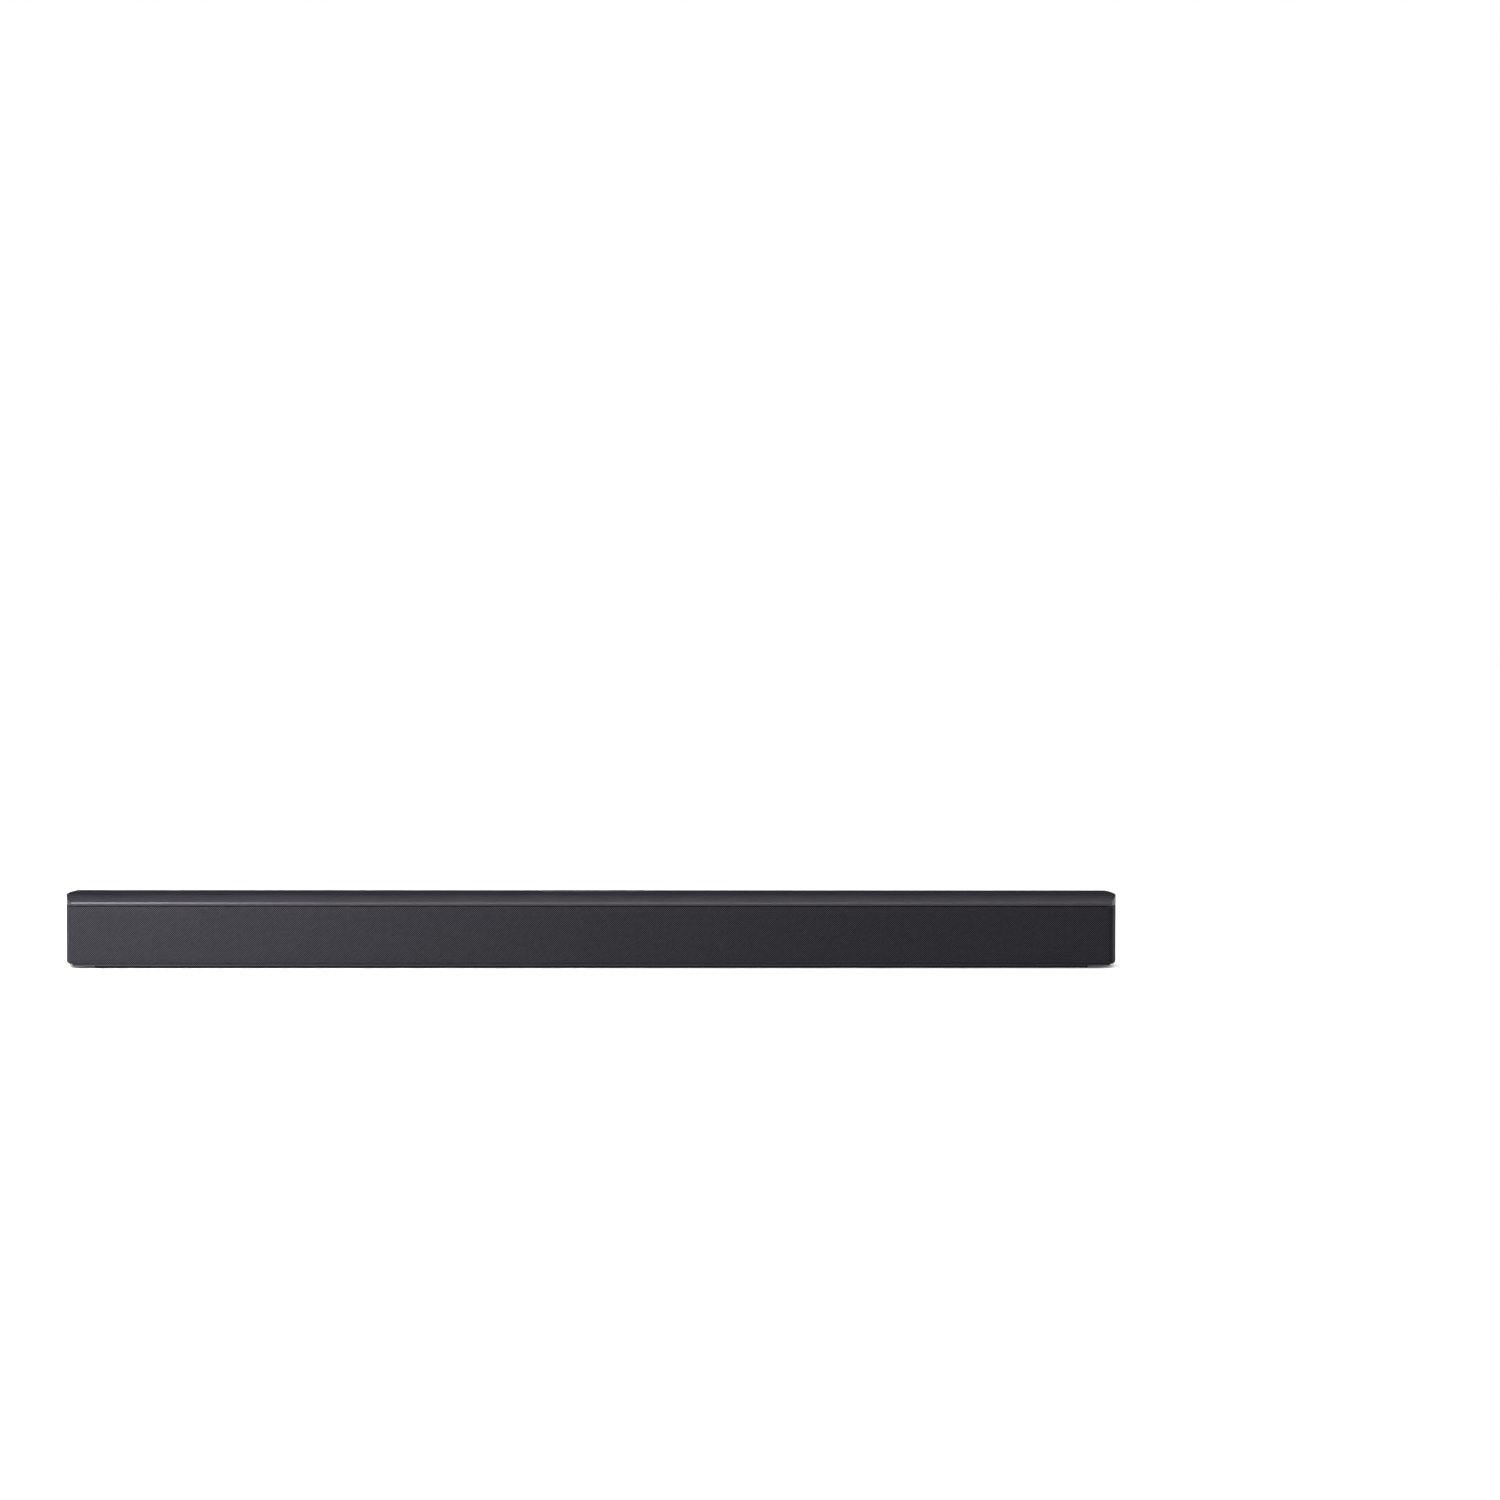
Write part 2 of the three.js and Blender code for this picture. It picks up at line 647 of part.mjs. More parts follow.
// A closed ring whose section corners each follow an oblong (a circle when straight is 0).
function oblongRing( section ) {

	const corners = facingOut( section, false );
	const surface = ( u, v, target ) => {

		const angle = 2 * Math.PI * ( u + 0.5 / AROUND );
		const corner = corners[ Math.round( v * corners.length ) % corners.length ];
		const shift = Math.sign( Math.cos( angle ) ) * corner.straight / 2;
		target.set( shift + corner.radius * Math.cos( angle ), corner.radius * Math.sin( angle ), corner.z );

	};

	return toSolid( new ParametricGeometry( surface, AROUND, corners.length ) );

}

function circleRing( section ) {

	return oblongRing( section.map( ( [ radius, z ] ) => ( { straight: 0, radius, z } ) ) );

}

// A solid of revolution about the driver's axis, from a section that starts and ends on it.
function turned( section ) {

	const corners = facingOut( section.map( ( [ radius, z ] ) => ( { radius, z } ) ), false );
	const profile = corners.map( ( { radius, z } ) => new THREE.Vector2( radius, z ) );
	const geometry = new THREE.LatheGeometry( profile, AROUND );
	geometry.rotateX( Math.PI / 2 );
	return toSolid( geometry );

}

function driverFrame() {

	const wall = 1.5;
	const flangeFront = - GAP - FLANGE_THICKNESS;
	const flange = oblongRing( [
		{ straight: DRIVER_STRAIGHT, radius: OPENING_RADIUS, z: flangeFront },
		{ straight: DRIVER_STRAIGHT, radius: OPENING_RADIUS, z: - GAP },
		{ straight: DRIVER_STRAIGHT, radius: FLANGE_RADIUS, z: - GAP },
		{ straight: DRIVER_STRAIGHT, radius: FLANGE_RADIUS, z: flangeFront },
	] );
	const outer = OPENING_RADIUS - 2 * GAP;
	const seat = MAGNET_RADIUS + 1.5;
	const basket = oblongRing( [
		{ straight: DRIVER_STRAIGHT, radius: outer - wall, z: - 0.9 },
		{ straight: DRIVER_STRAIGHT, radius: OPENING_RADIUS + 1, z: - 0.9 },
		{ straight: DRIVER_STRAIGHT, radius: OPENING_RADIUS + 1, z: - 0.5 },
		{ straight: DRIVER_STRAIGHT, radius: outer, z: - GAP },
		{ straight: DRIVER_STRAIGHT, radius: outer, z: BASKET_NECK },
		{ straight: 0, radius: seat, z: BASKET_DEPTH },
		{ straight: 0, radius: COIL_RADIUS + 1.5, z: BASKET_DEPTH },
		{ straight: 0, radius: COIL_RADIUS + 1.5, z: BASKET_DEPTH - wall },
		{ straight: 0, radius: seat - wall, z: BASKET_DEPTH - wall },
		{ straight: DRIVER_STRAIGHT, radius: outer - wall, z: BASKET_NECK },
	] );
	const windowHeight = [ - OPENING_RADIUS / 2, OPENING_RADIUS / 2 ];
	const windowDepth = [ BASKET_NECK + 1, BASKET_DEPTH - 5 ];
	const windowNear = COIL_RADIUS + 2.5;
	const leftWindow = box( [ - DRIVER_STRAIGHT, - windowNear ], windowHeight, windowDepth );
	const rightWindow = box( [ windowNear, DRIVER_STRAIGHT ], windowHeight, windowDepth );
	return basket.subtract( leftWindow ).subtract( rightWindow ).add( flange );

}

// Back plate, ring magnet, top plate and pole piece, with the gap that the voice coil moves in.
function driverMagnet() {

	const front = BASKET_DEPTH + GAP;
	const back = front + 14;
	const plate = 3;
	const gapInner = COIL_RADIUS - 1.3;
	const gapOuter = COIL_RADIUS + 0.7;
	return turned( [
		[ 0, front ],
		[ gapInner, front ],
		[ gapInner, back - plate ],
		[ gapOuter, back - plate ],
		[ gapOuter, front ],
		[ MAGNET_RADIUS - 2, front ],
		[ MAGNET_RADIUS, front + plate ],
		[ MAGNET_RADIUS, back ],
		[ 0, back ],
	] );

}

function driverSpider() {

	const inner = COIL_RADIUS + GAP;
	const outer = inner + 4.7;
	const waves = 2;
	const waveHeight = 1.2;
	const firstZ = 14;
	const thickness = 0.6;
	const front = [];
	const back = [];
	for ( let i = 0; i <= waves; i ++ ) {

		const radius = inner + ( outer - inner ) * i / waves;
		const z = firstZ + ( i % 2 ) * waveHeight;
		front.push( [ radius, z ] );
		back.unshift( [ radius, z + thickness ] );

	}

	return circleRing( [ ...back, ...front ].reverse() );

}

function driverCoil() {

	const inner = COIL_RADIUS - 0.8;
	const [ front, back ] = [ CONE_NECK_Z + 1, BASKET_DEPTH + 6 ];
	return circleRing( [ [ inner, front ], [ inner, back ], [ COIL_RADIUS, back ], [ COIL_RADIUS, front ] ] );

}

function driverCone() {

	const wall = 0.8;
	const rim = 1.4;
	const neck = COIL_RADIUS + 0.4;
	const neckBack = CONE_NECK_Z + 1.2;
	return oblongRing( [
		{ straight: DRIVER_STRAIGHT, radius: CONE_RADIUS, z: - rim },
		{ straight: DRIVER_STRAIGHT, radius: CONE_RADIUS - wall, z: - rim },
		{ straight: 0, radius: neck, z: CONE_NECK_Z },
		{ straight: 0, radius: neck, z: neckBack },
		{ straight: 0, radius: neck + wall, z: neckBack },
		{ straight: DRIVER_STRAIGHT, radius: CONE_RADIUS, z: 0 },
	] );

}

function driverDustCap() {

	const wall = 0.7;
	const rise = 4;
	const radius = COIL_RADIUS - 0.2;
	const dome = [ [ 0, rise ], [ 0.6 * radius, 0.75 * rise ], [ radius, 0 ] ];
	const z = ( height ) => CONE_NECK_Z + 0.1 - height;
	const front = dome.map( ( [ r, height ] ) => [ r, z( height ) ] );
	const back = dome.map( ( [ r, height ] ) => [ r * ( 1 - wall / radius ), z( height - wall ) ] ).reverse();
	return turned( [ ...front, ...back ] );

}

// A half-round roll between the cone's edge and the frame.
function driverSurround() {

	const inner = CONE_RADIUS + GAP;
	const outer = OPENING_RADIUS - GAP;
	const middle = ( inner + outer ) / 2;
	const steps = 3;
	const thickness = 0.6;
	const edgeZ = - 1.2;
	const arc = ( radius ) => Array.from( { length: steps + 1 }, ( _, i ) => {

		const angle = Math.PI * i / steps;
		return {
			straight: DRIVER_STRAIGHT,
			radius: middle - radius * Math.cos( angle ),
			z: edgeZ - radius * Math.sin( angle ),
		};

	} );
	const roll = ( outer - inner ) / 2;
	return oblongRing( [ ...arc( roll - thickness ), ...arc( roll ).reverse() ] );

}

function driver( side ) {

	const group = new THREE.Group();
	group.position.set( DRIVER_X[ side ], BAFFLE_Y, DRIVER_Z );
	group.rotation.x = - Math.PI / 2;
	group.add(
		toMesh( `${ side }_driver_frame`, driverFrame(), FINISH.steel ),
		toMesh( `${ side }_driver_magnet`, driverMagnet(), FINISH.ferrite ),
		toMesh( `${ side }_driver_spider`, driverSpider(), FINISH.suspension ),
		toMesh( `${ side }_driver_voice_coil`, driverCoil(), FINISH.copper ),
		toMesh( `${ side }_driver_cone`, driverCone(), FINISH.paper ),
		toMesh( `${ side }_driver_dust_cap`, driverDustCap(), FINISH.paper ),
		toMesh( `${ side }_driver_surround`, driverSurround(), FINISH.rubber ),
	);
	return group;

}

// ---- Underside ----------------------------------------------------------------------------

const FOOT = { x: 340, y: 24, straight: 26, radius: 5, top: 1.2, pocketTop: 1.5 };

function bottomPlate() {

	const top = CHASSIS_BOTTOM - GAP;
	const chamfer = top - PLATE_BOTTOM;
	const setBack = 3;
	const section = polygon( [
		[ - PLATE_HALF_LENGTH + chamfer, PLATE_BOTTOM ],
		[ PLATE_HALF_LENGTH - chamfer, PLATE_BOTTOM ],
		[ PLATE_HALF_LENGTH, top ],
		[ - PLATE_HALF_LENGTH, top ],
	] );
	let plate = prismAlongY( section, FRONT + setBack, REAR - setBack );
	for ( const x of [ - FOOT.x, FOOT.x ] ) {

		for ( const y of [ - FOOT.y, FOOT.y ] ) {

			const pocket = prism( oblong( FOOT.straight, FOOT.radius + GAP ), 0, FOOT.pocketTop );
			plate = plate.subtract( pocket.translate( x, y, 0 ) );

		}

	}

	for ( const x of [ - WELL.x, WELL.x ] ) plate = plate.subtract( post( WELL.bore, x, WELL.y, 0, FLOOR_TOP ) );
	return toMesh( 'bottom_plate', plate, FINISH.plate );

}

function foot( name, x, y ) {

	const mesh = toMesh( name, prism( oblong( FOOT.straight, FOOT.radius ), 0, FOOT.top ), FINISH.rubber );
	mesh.position.set( x, y, 0 );
	return mesh;

}

function feet() {

	const group = new THREE.Group();
	for ( const [ end, y ] of [ [ 'front', - FOOT.y ], [ 'rear', FOOT.y ] ] ) {

		for ( const [ side, x ] of [ [ 'left', - FOOT.x ], [ 'right', FOOT.x ] ] ) {

			group.add( foot( `foot_${ end }_${ side }`, x, y ) );

		}

	}

	return group;

}

// ---- Keys ---------------------------------------------------------------------------------

function keyX( index ) {

	return ( index - ( KEY_NAMES.length - 1 ) / 2 ) * KEY_PITCH;

}

function controlStrip() {

	let strip = prism( roundedRectangle( STRIP.x, STRIP.y, STRIP.corner ), STRIP.bottom, STRIP.top, 2 );
	for ( let i = 0; i < KEY_NAMES.length; i ++ ) {

		const [ width, height ] = [ KEY_SIZE.x + 2 * GAP, KEY_SIZE.y + 2 * GAP ];
		const window = roundedRectangle( width, height, KEY_SIZE.corner + GAP, keyX( i ) );
		strip = strip.subtract( prism( window, STRIP.bottom - 1, STRIP.top + 1, 2 ) );

	}

	const mesh = toMesh( 'control_strip', strip, FINISH.deck );
	mesh.position.set( 0, KEY_Y, 0 );
	return mesh;

}

// A key cap with a stem that reaches down to its switch.
function keyCap( name, index ) {

	const clearance = 0.05;
	const halfStem = 2;
	const bottom = STRIP.bottom - GAP + KEY_TRAVEL + clearance;
	const stemBottom = KEY_BOARD.top + GAP + SWITCH.top + KEY_TRAVEL + 0.2;
	const cap = prism( roundedRectangle( KEY_SIZE.x, KEY_SIZE.y, KEY_SIZE.corner ), bottom, HEIGHT, 2 );
	const stem = box( [ - halfStem, halfStem ], [ - halfStem, halfStem ], [ stemBottom, bottom + JOIN ] );
	const mesh = toMesh( `${ name }_button`, cap.add( stem ), FINISH.key );
	mesh.position.set( keyX( index ), KEY_Y, 0 );
	return mesh;

}

function tactSwitch( name, index ) {

	const { half, height, plunger, top } = SWITCH;
	const body = box( [ - half, half ], [ - half, half ], [ 0, height ] )
		.add( post( plunger, 0, 0, height - JOIN, top ) );
	const mesh = toMesh( `${ name }_switch`, body, FINISH.socket );
	mesh.position.set( keyX( index ), KEY_Y, KEY_BOARD.top + GAP );
	return mesh;

}

function keyBoard() {

	const { halfX, front, rear, top, thickness } = KEY_BOARD;
	const board = box( [ - halfX, halfX ], [ KEY_Y + front, KEY_Y + rear ], [ top - thickness, top ] );
	return toMesh( 'button_board', board, FINISH.board );

}

function keys() {

	const group = new THREE.Group();
	KEY_NAMES.forEach( ( name, index ) => group.add( keyCap( name, index ), tactSwitch( name, index ) ) );
	group.add( controlStrip(), keyBoard() );
	return group;

}

// ---- Connector bay ------------------------------------------------------------------------

const SOCKET_BOTTOM = BOARD.top + GAP;
const SOCKET_SIZE = {
	dc: { x: 9.5, z: 11, front: 1 },
	hdmi: { x: 15.2, z: 6.2, front: 3 },
	usb: { x: 14.4, z: 7, front: 1 },
	optical: { x: 13.4, z: 10.4, front: 1 },
};
const MOUTH = {
	dc: { radius: 3.2, depth: 9.5 },
	hdmi: { halfX: 7, halfZ: 2.3, depth: 9 },
	usb: { halfX: 6.25, halfZ: 2.55, depth: 11 },
	optical: { halfX: 4.2, halfZ: 4.2, depth: 10.5 },
};
const HDMI_BEVEL = { x: 1.6, z: 1.7 };
const TONGUE = { halfX: 5.5, setBack: 1, root: 0.5, hdmi: [ - 0.3, 0.9 ], usb: [ 0.3, 2.1 ] };
const DC_PIN = { radius: 1, setBack: 0.6 };
const OPTICAL_LENS = { radius: 1.2, length: 1.2 };

function socketBlock( kind ) {

	const { x, z, front } = SOCKET_SIZE[ kind ];
	const middle = SOCKET_X[ kind ];
	const height = [ SOCKET_BOTTOM, SOCKET_BOTTOM + z ];
	return box( [ middle - x / 2, middle + x / 2 ], [ front, SOCKET_FACE ], height );

}

function socketMiddle( kind ) {

	return SOCKET_BOTTOM + SOCKET_SIZE[ kind ].z / 2;

}

function connectorBay() {

	const outside = box( [ BAY.left, BAY.right ], [ BAY.front, REAR ], [ BAY.bottom, BAY.top ] );
	const pocket = box(
		[ BAY.left + BAY.wall, BAY.right - BAY.wall ],
		[ BAY.front + BAY.wall, REAR + 1 ],
		[ BAY.bottom + BAY.wall, BAY.top - BAY.wall ],
	);
	const flange = box(
		[ BAY.left - BAY_FLANGE.side, BAY.right + BAY_FLANGE.side ],
		[ PANEL_INNER_Y, REAR ],
		[ FLOOR_TOP + GAP, BAY.top + BAY_FLANGE.top ],
	);
	let bay = outside.add( flange ).subtract( pocket );
	for ( const [ kind, { x, z } ] of Object.entries( SOCKET_SIZE ) ) {

		const middle = SOCKET_X[ kind ];
		bay = bay.subtract( box(
			[ middle - x / 2 - GAP, middle + x / 2 + GAP ],
			[ 0, REAR ],
			[ SOCKET_BOTTOM - GAP, SOCKET_BOTTOM + z + GAP ],
		) );

	}

	return toMesh( 'connector_bay', bay, FINISH.housing );

}

function squareMouth( kind ) {

	const [ x, z ] = [ SOCKET_X[ kind ], socketMiddle( kind ) ];
	const { halfX, halfZ, depth } = MOUTH[ kind ];
	return box( [ x - halfX, x + halfX ], [ SOCKET_FACE - depth, SOCKET_FACE + 1 ], [ z - halfZ, z + halfZ ] );

}

// The tongue that carries a socket's contacts.
function tongue( kind ) {

	const [ x, z ] = [ SOCKET_X[ kind ], socketMiddle( kind ) ];
	const [ low, high ] = TONGUE[ kind ];
	const length = [ SOCKET_FACE - MOUTH[ kind ].depth - TONGUE.root, SOCKET_FACE - TONGUE.setBack ];
	return box( [ x - TONGUE.halfX, x + TONGUE.halfX ], length, [ z + low, z + high ] );

}

function hdmiSocket() {

	const [ x, z ] = [ SOCKET_X.hdmi, socketMiddle( 'hdmi' ) ];
	const { halfX, halfZ, depth } = MOUTH.hdmi;
	const outline = [ [ - halfX, halfZ ], [ - halfX, HDMI_BEVEL.z - halfZ ], [ HDMI_BEVEL.x - halfX, - halfZ ] ];
	const mirrored = outline.map( ( [ dx, dz ] ) => [ - dx, dz ] ).reverse();
	const corners = [ ...outline, ...mirrored ].map( ( [ dx, dz ] ) => [ x + dx, z + dz ] );
	const mouth = prismAlongY( polygon( corners ), SOCKET_FACE - depth, SOCKET_FACE + 1 );
	return toMesh( 'hdmi_socket', socketBlock( 'hdmi' ).subtract( mouth ).add( tongue( 'hdmi' ) ), FINISH.steel );

}

function usbSocket() {

	const shell = socketBlock( 'usb' ).subtract( squareMouth( 'usb' ) );
	return toMesh( 'usb_socket', shell.add( tongue( 'usb' ) ), FINISH.steel );

}

function dcInlet() {

	const [ x, z ] = [ SOCKET_X.dc, socketMiddle( 'dc' ) ];
	const { radius, depth } = MOUTH.dc;
	const mouth = rodAlongY( radius, x, z, SOCKET_FACE - depth, SOCKET_FACE + 1 );
	const pinBack = SOCKET_FACE - depth - TONGUE.root;
	const pin = rodAlongY( DC_PIN.radius, x, z, pinBack, SOCKET_FACE - DC_PIN.setBack, 10 );
	return toMesh( 'dc_inlet', socketBlock( 'dc' ).subtract( mouth ).add( pin ), FINISH.socket );

}

const SHUTTER = { half: 3.8, thickness: 0.8, inset: 0.8, hinge: 3.4 };

function opticalSocket() {

	const [ x, z ] = [ SOCKET_X.optical, socketMiddle( 'optical' ) ];
	const back = SOCKET_FACE - MOUTH.optical.depth;
	const lens = rodAlongY( OPTICAL_LENS.radius, x, z, back - TONGUE.root, back + OPTICAL_LENS.length, 10 );
	const shell = socketBlock( 'optical' ).subtract( squareMouth( 'optical' ) );
	return toMesh( 'optical_socket', shell.add( lens ), FINISH.socket );

}

// A sprung flap that hangs from the top of the optical socket's mouth and swings inwards.
function opticalShutter() {

	const [ x, z ] = [ SOCKET_X.optical, socketMiddle( 'optical' ) ];
	const y = SOCKET_FACE - SHUTTER.inset;
	const half = SHUTTER.thickness / 2;
	const hingeZ = z + SHUTTER.hinge;
	const width = [ x - SHUTTER.half, x + SHUTTER.half ];
	const flap = box( width, [ y - half, y + half ], [ z - SHUTTER.half, hingeZ ] );
	const barrel = new THREE.CylinderGeometry( half, half, 2 * SHUTTER.half, 12 );
	barrel.rotateZ( Math.PI / 2 );
	barrel.translate( x, y, hingeZ );
	return toMesh( 'optical_shutter', flap.add( toSolid( barrel ) ), FINISH.housing );

}

// ---- Electronics --------------------------------------------------------------------------

function mainBoard() {

	const board = box( [ BOARD.left, BOARD.right ], [ BOARD.front, BOARD.rear ], [ BOARD.bottom, BOARD.top ] );
	return toMesh( 'main_board', board, FINISH.board );

}

const SINK = { x: 150, front: - 17, rear: - 2, fins: 8, pitch: 5, fin: 1.6, base: 3, height: 16 };

// A finned extrusion over the amplifier chip.
function heatSink() {

	const base = SOCKET_BOTTOM + SINK.base;
	const top = SOCKET_BOTTOM + SINK.height;
	const left = - ( ( SINK.fins - 1 ) * SINK.pitch + SINK.fin ) / 2;
	const points = [ [ left, SOCKET_BOTTOM ], [ - left, SOCKET_BOTTOM ] ];
	for ( let i = SINK.fins - 1; i >= 0; i -- ) {

		const x = left + i * SINK.pitch;
		points.push( [ x + SINK.fin, base ], [ x + SINK.fin, top ], [ x, top ], [ x, base ] );

	}

	const sink = prismAlongY( polygon( points ), SINK.front, SINK.rear );
	const mesh = toMesh( 'heat_sink', sink, FINISH.aluminium );
	mesh.position.set( SINK.x, 0, 0 );
	return mesh;

}

const RADIO = { left: 196, right: 236, front: - 18, rear: - 1, board: 1.2 };
const RADIO_CAN = { inset: 1.5, width: 24, height: 2.5 };

// A small board with a screening can on it.
function wirelessModule() {

	const { left, right, front, rear } = RADIO;
	const { inset, width, height } = RADIO_CAN;
	const boardTop = SOCKET_BOTTOM + RADIO.board;
	const board = box( [ left, right ], [ front, rear ], [ SOCKET_BOTTOM, boardTop ] );
	const canX = [ left + inset, left + inset + width ];
	const can = box( canX, [ front + inset, rear - inset ], [ boardTop - JOIN, boardTop - JOIN + height ] );
	return toMesh( 'wireless_module', board.add( can ), FINISH.steel );

}

const DISPLAY = { left: 140, right: 204, bottom: 18, top: 38, board: 1.6 };
const DISPLAY_WINDOW = { insetX: 6, insetZ: 3, height: 3.6 };

// The small display that shines through the cloth.
function displayModule() {

	const { left, right, bottom, top } = DISPLAY;
	const { insetX, insetZ, height } = DISPLAY_WINDOW;
	const boardFront = BAFFLE_Y - GAP - DISPLAY.board;
	const board = box( [ left, right ], [ boardFront, BAFFLE_Y - GAP ], [ bottom, top ] );
	const windowBack = boardFront + JOIN;
	const window = box(
		[ left + insetX, right - insetX ],
		[ windowBack - height, windowBack ],
		[ bottom + insetZ, top - insetZ ],
	);
	return toMesh( 'display_module', board.add( window ), FINISH.lens );

}

// ---- Leads --------------------------------------------------------------------------------

function lead( name, route, steps ) {

	const path = new THREE.CatmullRomCurve3( route.map( ( p ) => new THREE.Vector3( ...p ) ) );
	const section = new THREE.Shape().absarc( 0, 0, 1.1, 0, 2 * Math.PI );
	const geometry = new THREE.ExtrudeGeometry( section, { steps, extrudePath: path, curveSegments: 4 } );
	return toMesh( name, toSolid( geometry ), FINISH.cable );

}

const TERMINAL_X = MAGNET_RADIUS + 6;
const TERMINAL_Y = BAFFLE_Y + BASKET_DEPTH - 1;
const HEADER_Z = BOARD.top + 2 * GAP;

function leads() {

	const group = new THREE.Group();
	group.add(
		lead( 'left_speaker_lead', [
			[ 80, 6, HEADER_Z ],
			[ 80, 6.2, 17 ],
			[ 80, 11, 20.5 ],
			[ 79, 18, 17 ],
			[ 76, 25, 9 ],
			[ 66, 31, 6.7 ],
			[ 40, 32, 6.8 ],
			[ - 62, 32, 6.8 ],
			[ - 180, 32, 6.8 ],
			[ - 270, 31, 6.9 ],
			[ - 292, 24, 10 ],
			[ - 300, 8, 22 ],
			[ - 303, - 5, 28 ],
			[ DRIVER_X.left + TERMINAL_X + 1, TERMINAL_Y - 0.5, DRIVER_Z ],
			[ DRIVER_X.left + TERMINAL_X, TERMINAL_Y - 0.5, DRIVER_Z ],
		], 34 ),
		lead( 'centre_speaker_lead', [
			[ 75, - 2, HEADER_Z ],
			[ 75, - 1.8, 17 ],
			[ 75, 4, 20.5 ],
			[ 75, 14, 18 ],
			[ 73, 21, 10 ],
			[ 66, 27.5, 6.8 ],
			[ 52, 28, 6.9 ],
			[ 36, 22, 12 ],
			[ 29, 6, 24 ],
			[ 27, - 5, 28 ],
			[ DRIVER_X.centre + TERMINAL_X + 1, TERMINAL_Y - 0.5, DRIVER_Z ],
			[ DRIVER_X.centre + TERMINAL_X, TERMINAL_Y - 0.5, DRIVER_Z ],
		], 22 ),
		lead( 'right_speaker_lead', [
			[ 246, 0, HEADER_Z ],
			[ 246, 0.2, 17 ],
			[ 247, 6, 20.5 ],
			[ 250, 15, 17 ],
			[ 254, 23, 9 ],
			[ 262, 28, 6.8 ],
			[ 278, 29, 6.9 ],
			[ 294, 22, 12 ],
			[ 301, 6, 24 ],
			[ 303, - 5, 28 ],
			[ DRIVER_X.right - TERMINAL_X - 1, TERMINAL_Y - 0.5, DRIVER_Z ],
			[ DRIVER_X.right - TERMINAL_X, TERMINAL_Y - 0.5, DRIVER_Z ],
		], 22 ),
		lead( 'button_board_lead', [
			[ 44, KEY_Y - 3, KEY_BOARD.top - KEY_BOARD.thickness - 2 * GAP ],
			[ 44, KEY_Y - 3.1, 42 ],
			[ 45, 25, 20 ],
			[ 50, 24, 9 ],
			[ 62, 23.8, 7 ],
			[ 69, 21.5, 10 ],
			[ 70, 16.5, 17 ],
			[ 70, 6, 20.5 ],
			[ 70, - 7.8, 18 ],
			[ 70, - 8, HEADER_Z ],
		], 22 ),
	);
	return group;

}

// ---- Assembly -----------------------------------------------------------------------------

const soundbar = new THREE.Group();
soundbar.add(
	topCover(),
	grilleCloth(),
	grilleFrame(),
	lowerChassis(),
	rearPanel(),
	frontBaffle(),
	bottomPlate(),
	feet(),
	driver( 'left' ),
	driver( 'centre' ),
	driver( 'right' ),
	keys(),
	connectorBay(),
	dcInlet(),
	hdmiSocket(),
	usbSocket(),
	opticalSocket(),
	opticalShutter(),
	mainBoard(),
	heatSink(),
	wirelessModule(),
	displayModule(),
	leads(),
	wallInsert( 'wall_insert_left', - 1 ),
	wallInsert( 'wall_insert_right', 1 ),
	caseScrew( 'case_screw_left', - 1 ),
	caseScrew( 'case_screw_right', 1 ),
);

export default soundbar;
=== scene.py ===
import math

import bmesh
import bpy
from mathutils import Matrix, Vector

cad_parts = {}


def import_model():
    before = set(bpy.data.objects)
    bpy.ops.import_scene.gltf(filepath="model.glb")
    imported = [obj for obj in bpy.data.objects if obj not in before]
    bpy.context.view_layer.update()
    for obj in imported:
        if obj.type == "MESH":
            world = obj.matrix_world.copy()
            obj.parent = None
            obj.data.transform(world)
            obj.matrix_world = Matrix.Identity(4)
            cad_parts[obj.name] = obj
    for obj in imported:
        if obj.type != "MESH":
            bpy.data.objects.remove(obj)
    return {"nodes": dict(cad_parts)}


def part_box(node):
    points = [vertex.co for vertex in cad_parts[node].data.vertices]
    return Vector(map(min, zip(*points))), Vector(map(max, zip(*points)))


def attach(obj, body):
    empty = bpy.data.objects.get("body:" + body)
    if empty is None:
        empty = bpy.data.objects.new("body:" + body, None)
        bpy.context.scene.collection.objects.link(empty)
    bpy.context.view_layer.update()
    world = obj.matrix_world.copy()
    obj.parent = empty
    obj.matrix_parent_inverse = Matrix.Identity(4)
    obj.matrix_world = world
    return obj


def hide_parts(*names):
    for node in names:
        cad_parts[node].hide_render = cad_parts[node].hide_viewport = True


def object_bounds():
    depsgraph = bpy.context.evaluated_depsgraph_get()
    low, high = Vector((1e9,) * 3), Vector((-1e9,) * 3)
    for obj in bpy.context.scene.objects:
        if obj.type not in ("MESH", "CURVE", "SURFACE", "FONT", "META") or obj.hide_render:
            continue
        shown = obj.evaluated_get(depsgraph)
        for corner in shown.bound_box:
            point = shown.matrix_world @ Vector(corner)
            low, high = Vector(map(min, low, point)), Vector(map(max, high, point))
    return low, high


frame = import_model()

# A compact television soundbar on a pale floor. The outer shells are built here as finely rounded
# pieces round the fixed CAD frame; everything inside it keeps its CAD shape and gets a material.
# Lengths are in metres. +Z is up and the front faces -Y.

CAD_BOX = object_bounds()
MM = 0.001

# ---- Sizes, from the frame -----------------------------------------------------------------

LOW, HIGH = CAD_BOX
HALF_LENGTH, FRONT, REAR = HIGH.x, LOW.y, HIGH.y
CLOTH_LOW, CLOTH_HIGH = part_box("grille_cloth")
STRIP_LOW, STRIP_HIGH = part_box("control_strip")
GAP = 0.3 * MM

# The ends bulge in plan: one arc ahead of the widest line, a flatter one behind it.
WIDEST_Y = 0.5 * MM
FRONT_END_ARC = 110 * MM
REAR_END_ARC = 170 * MM

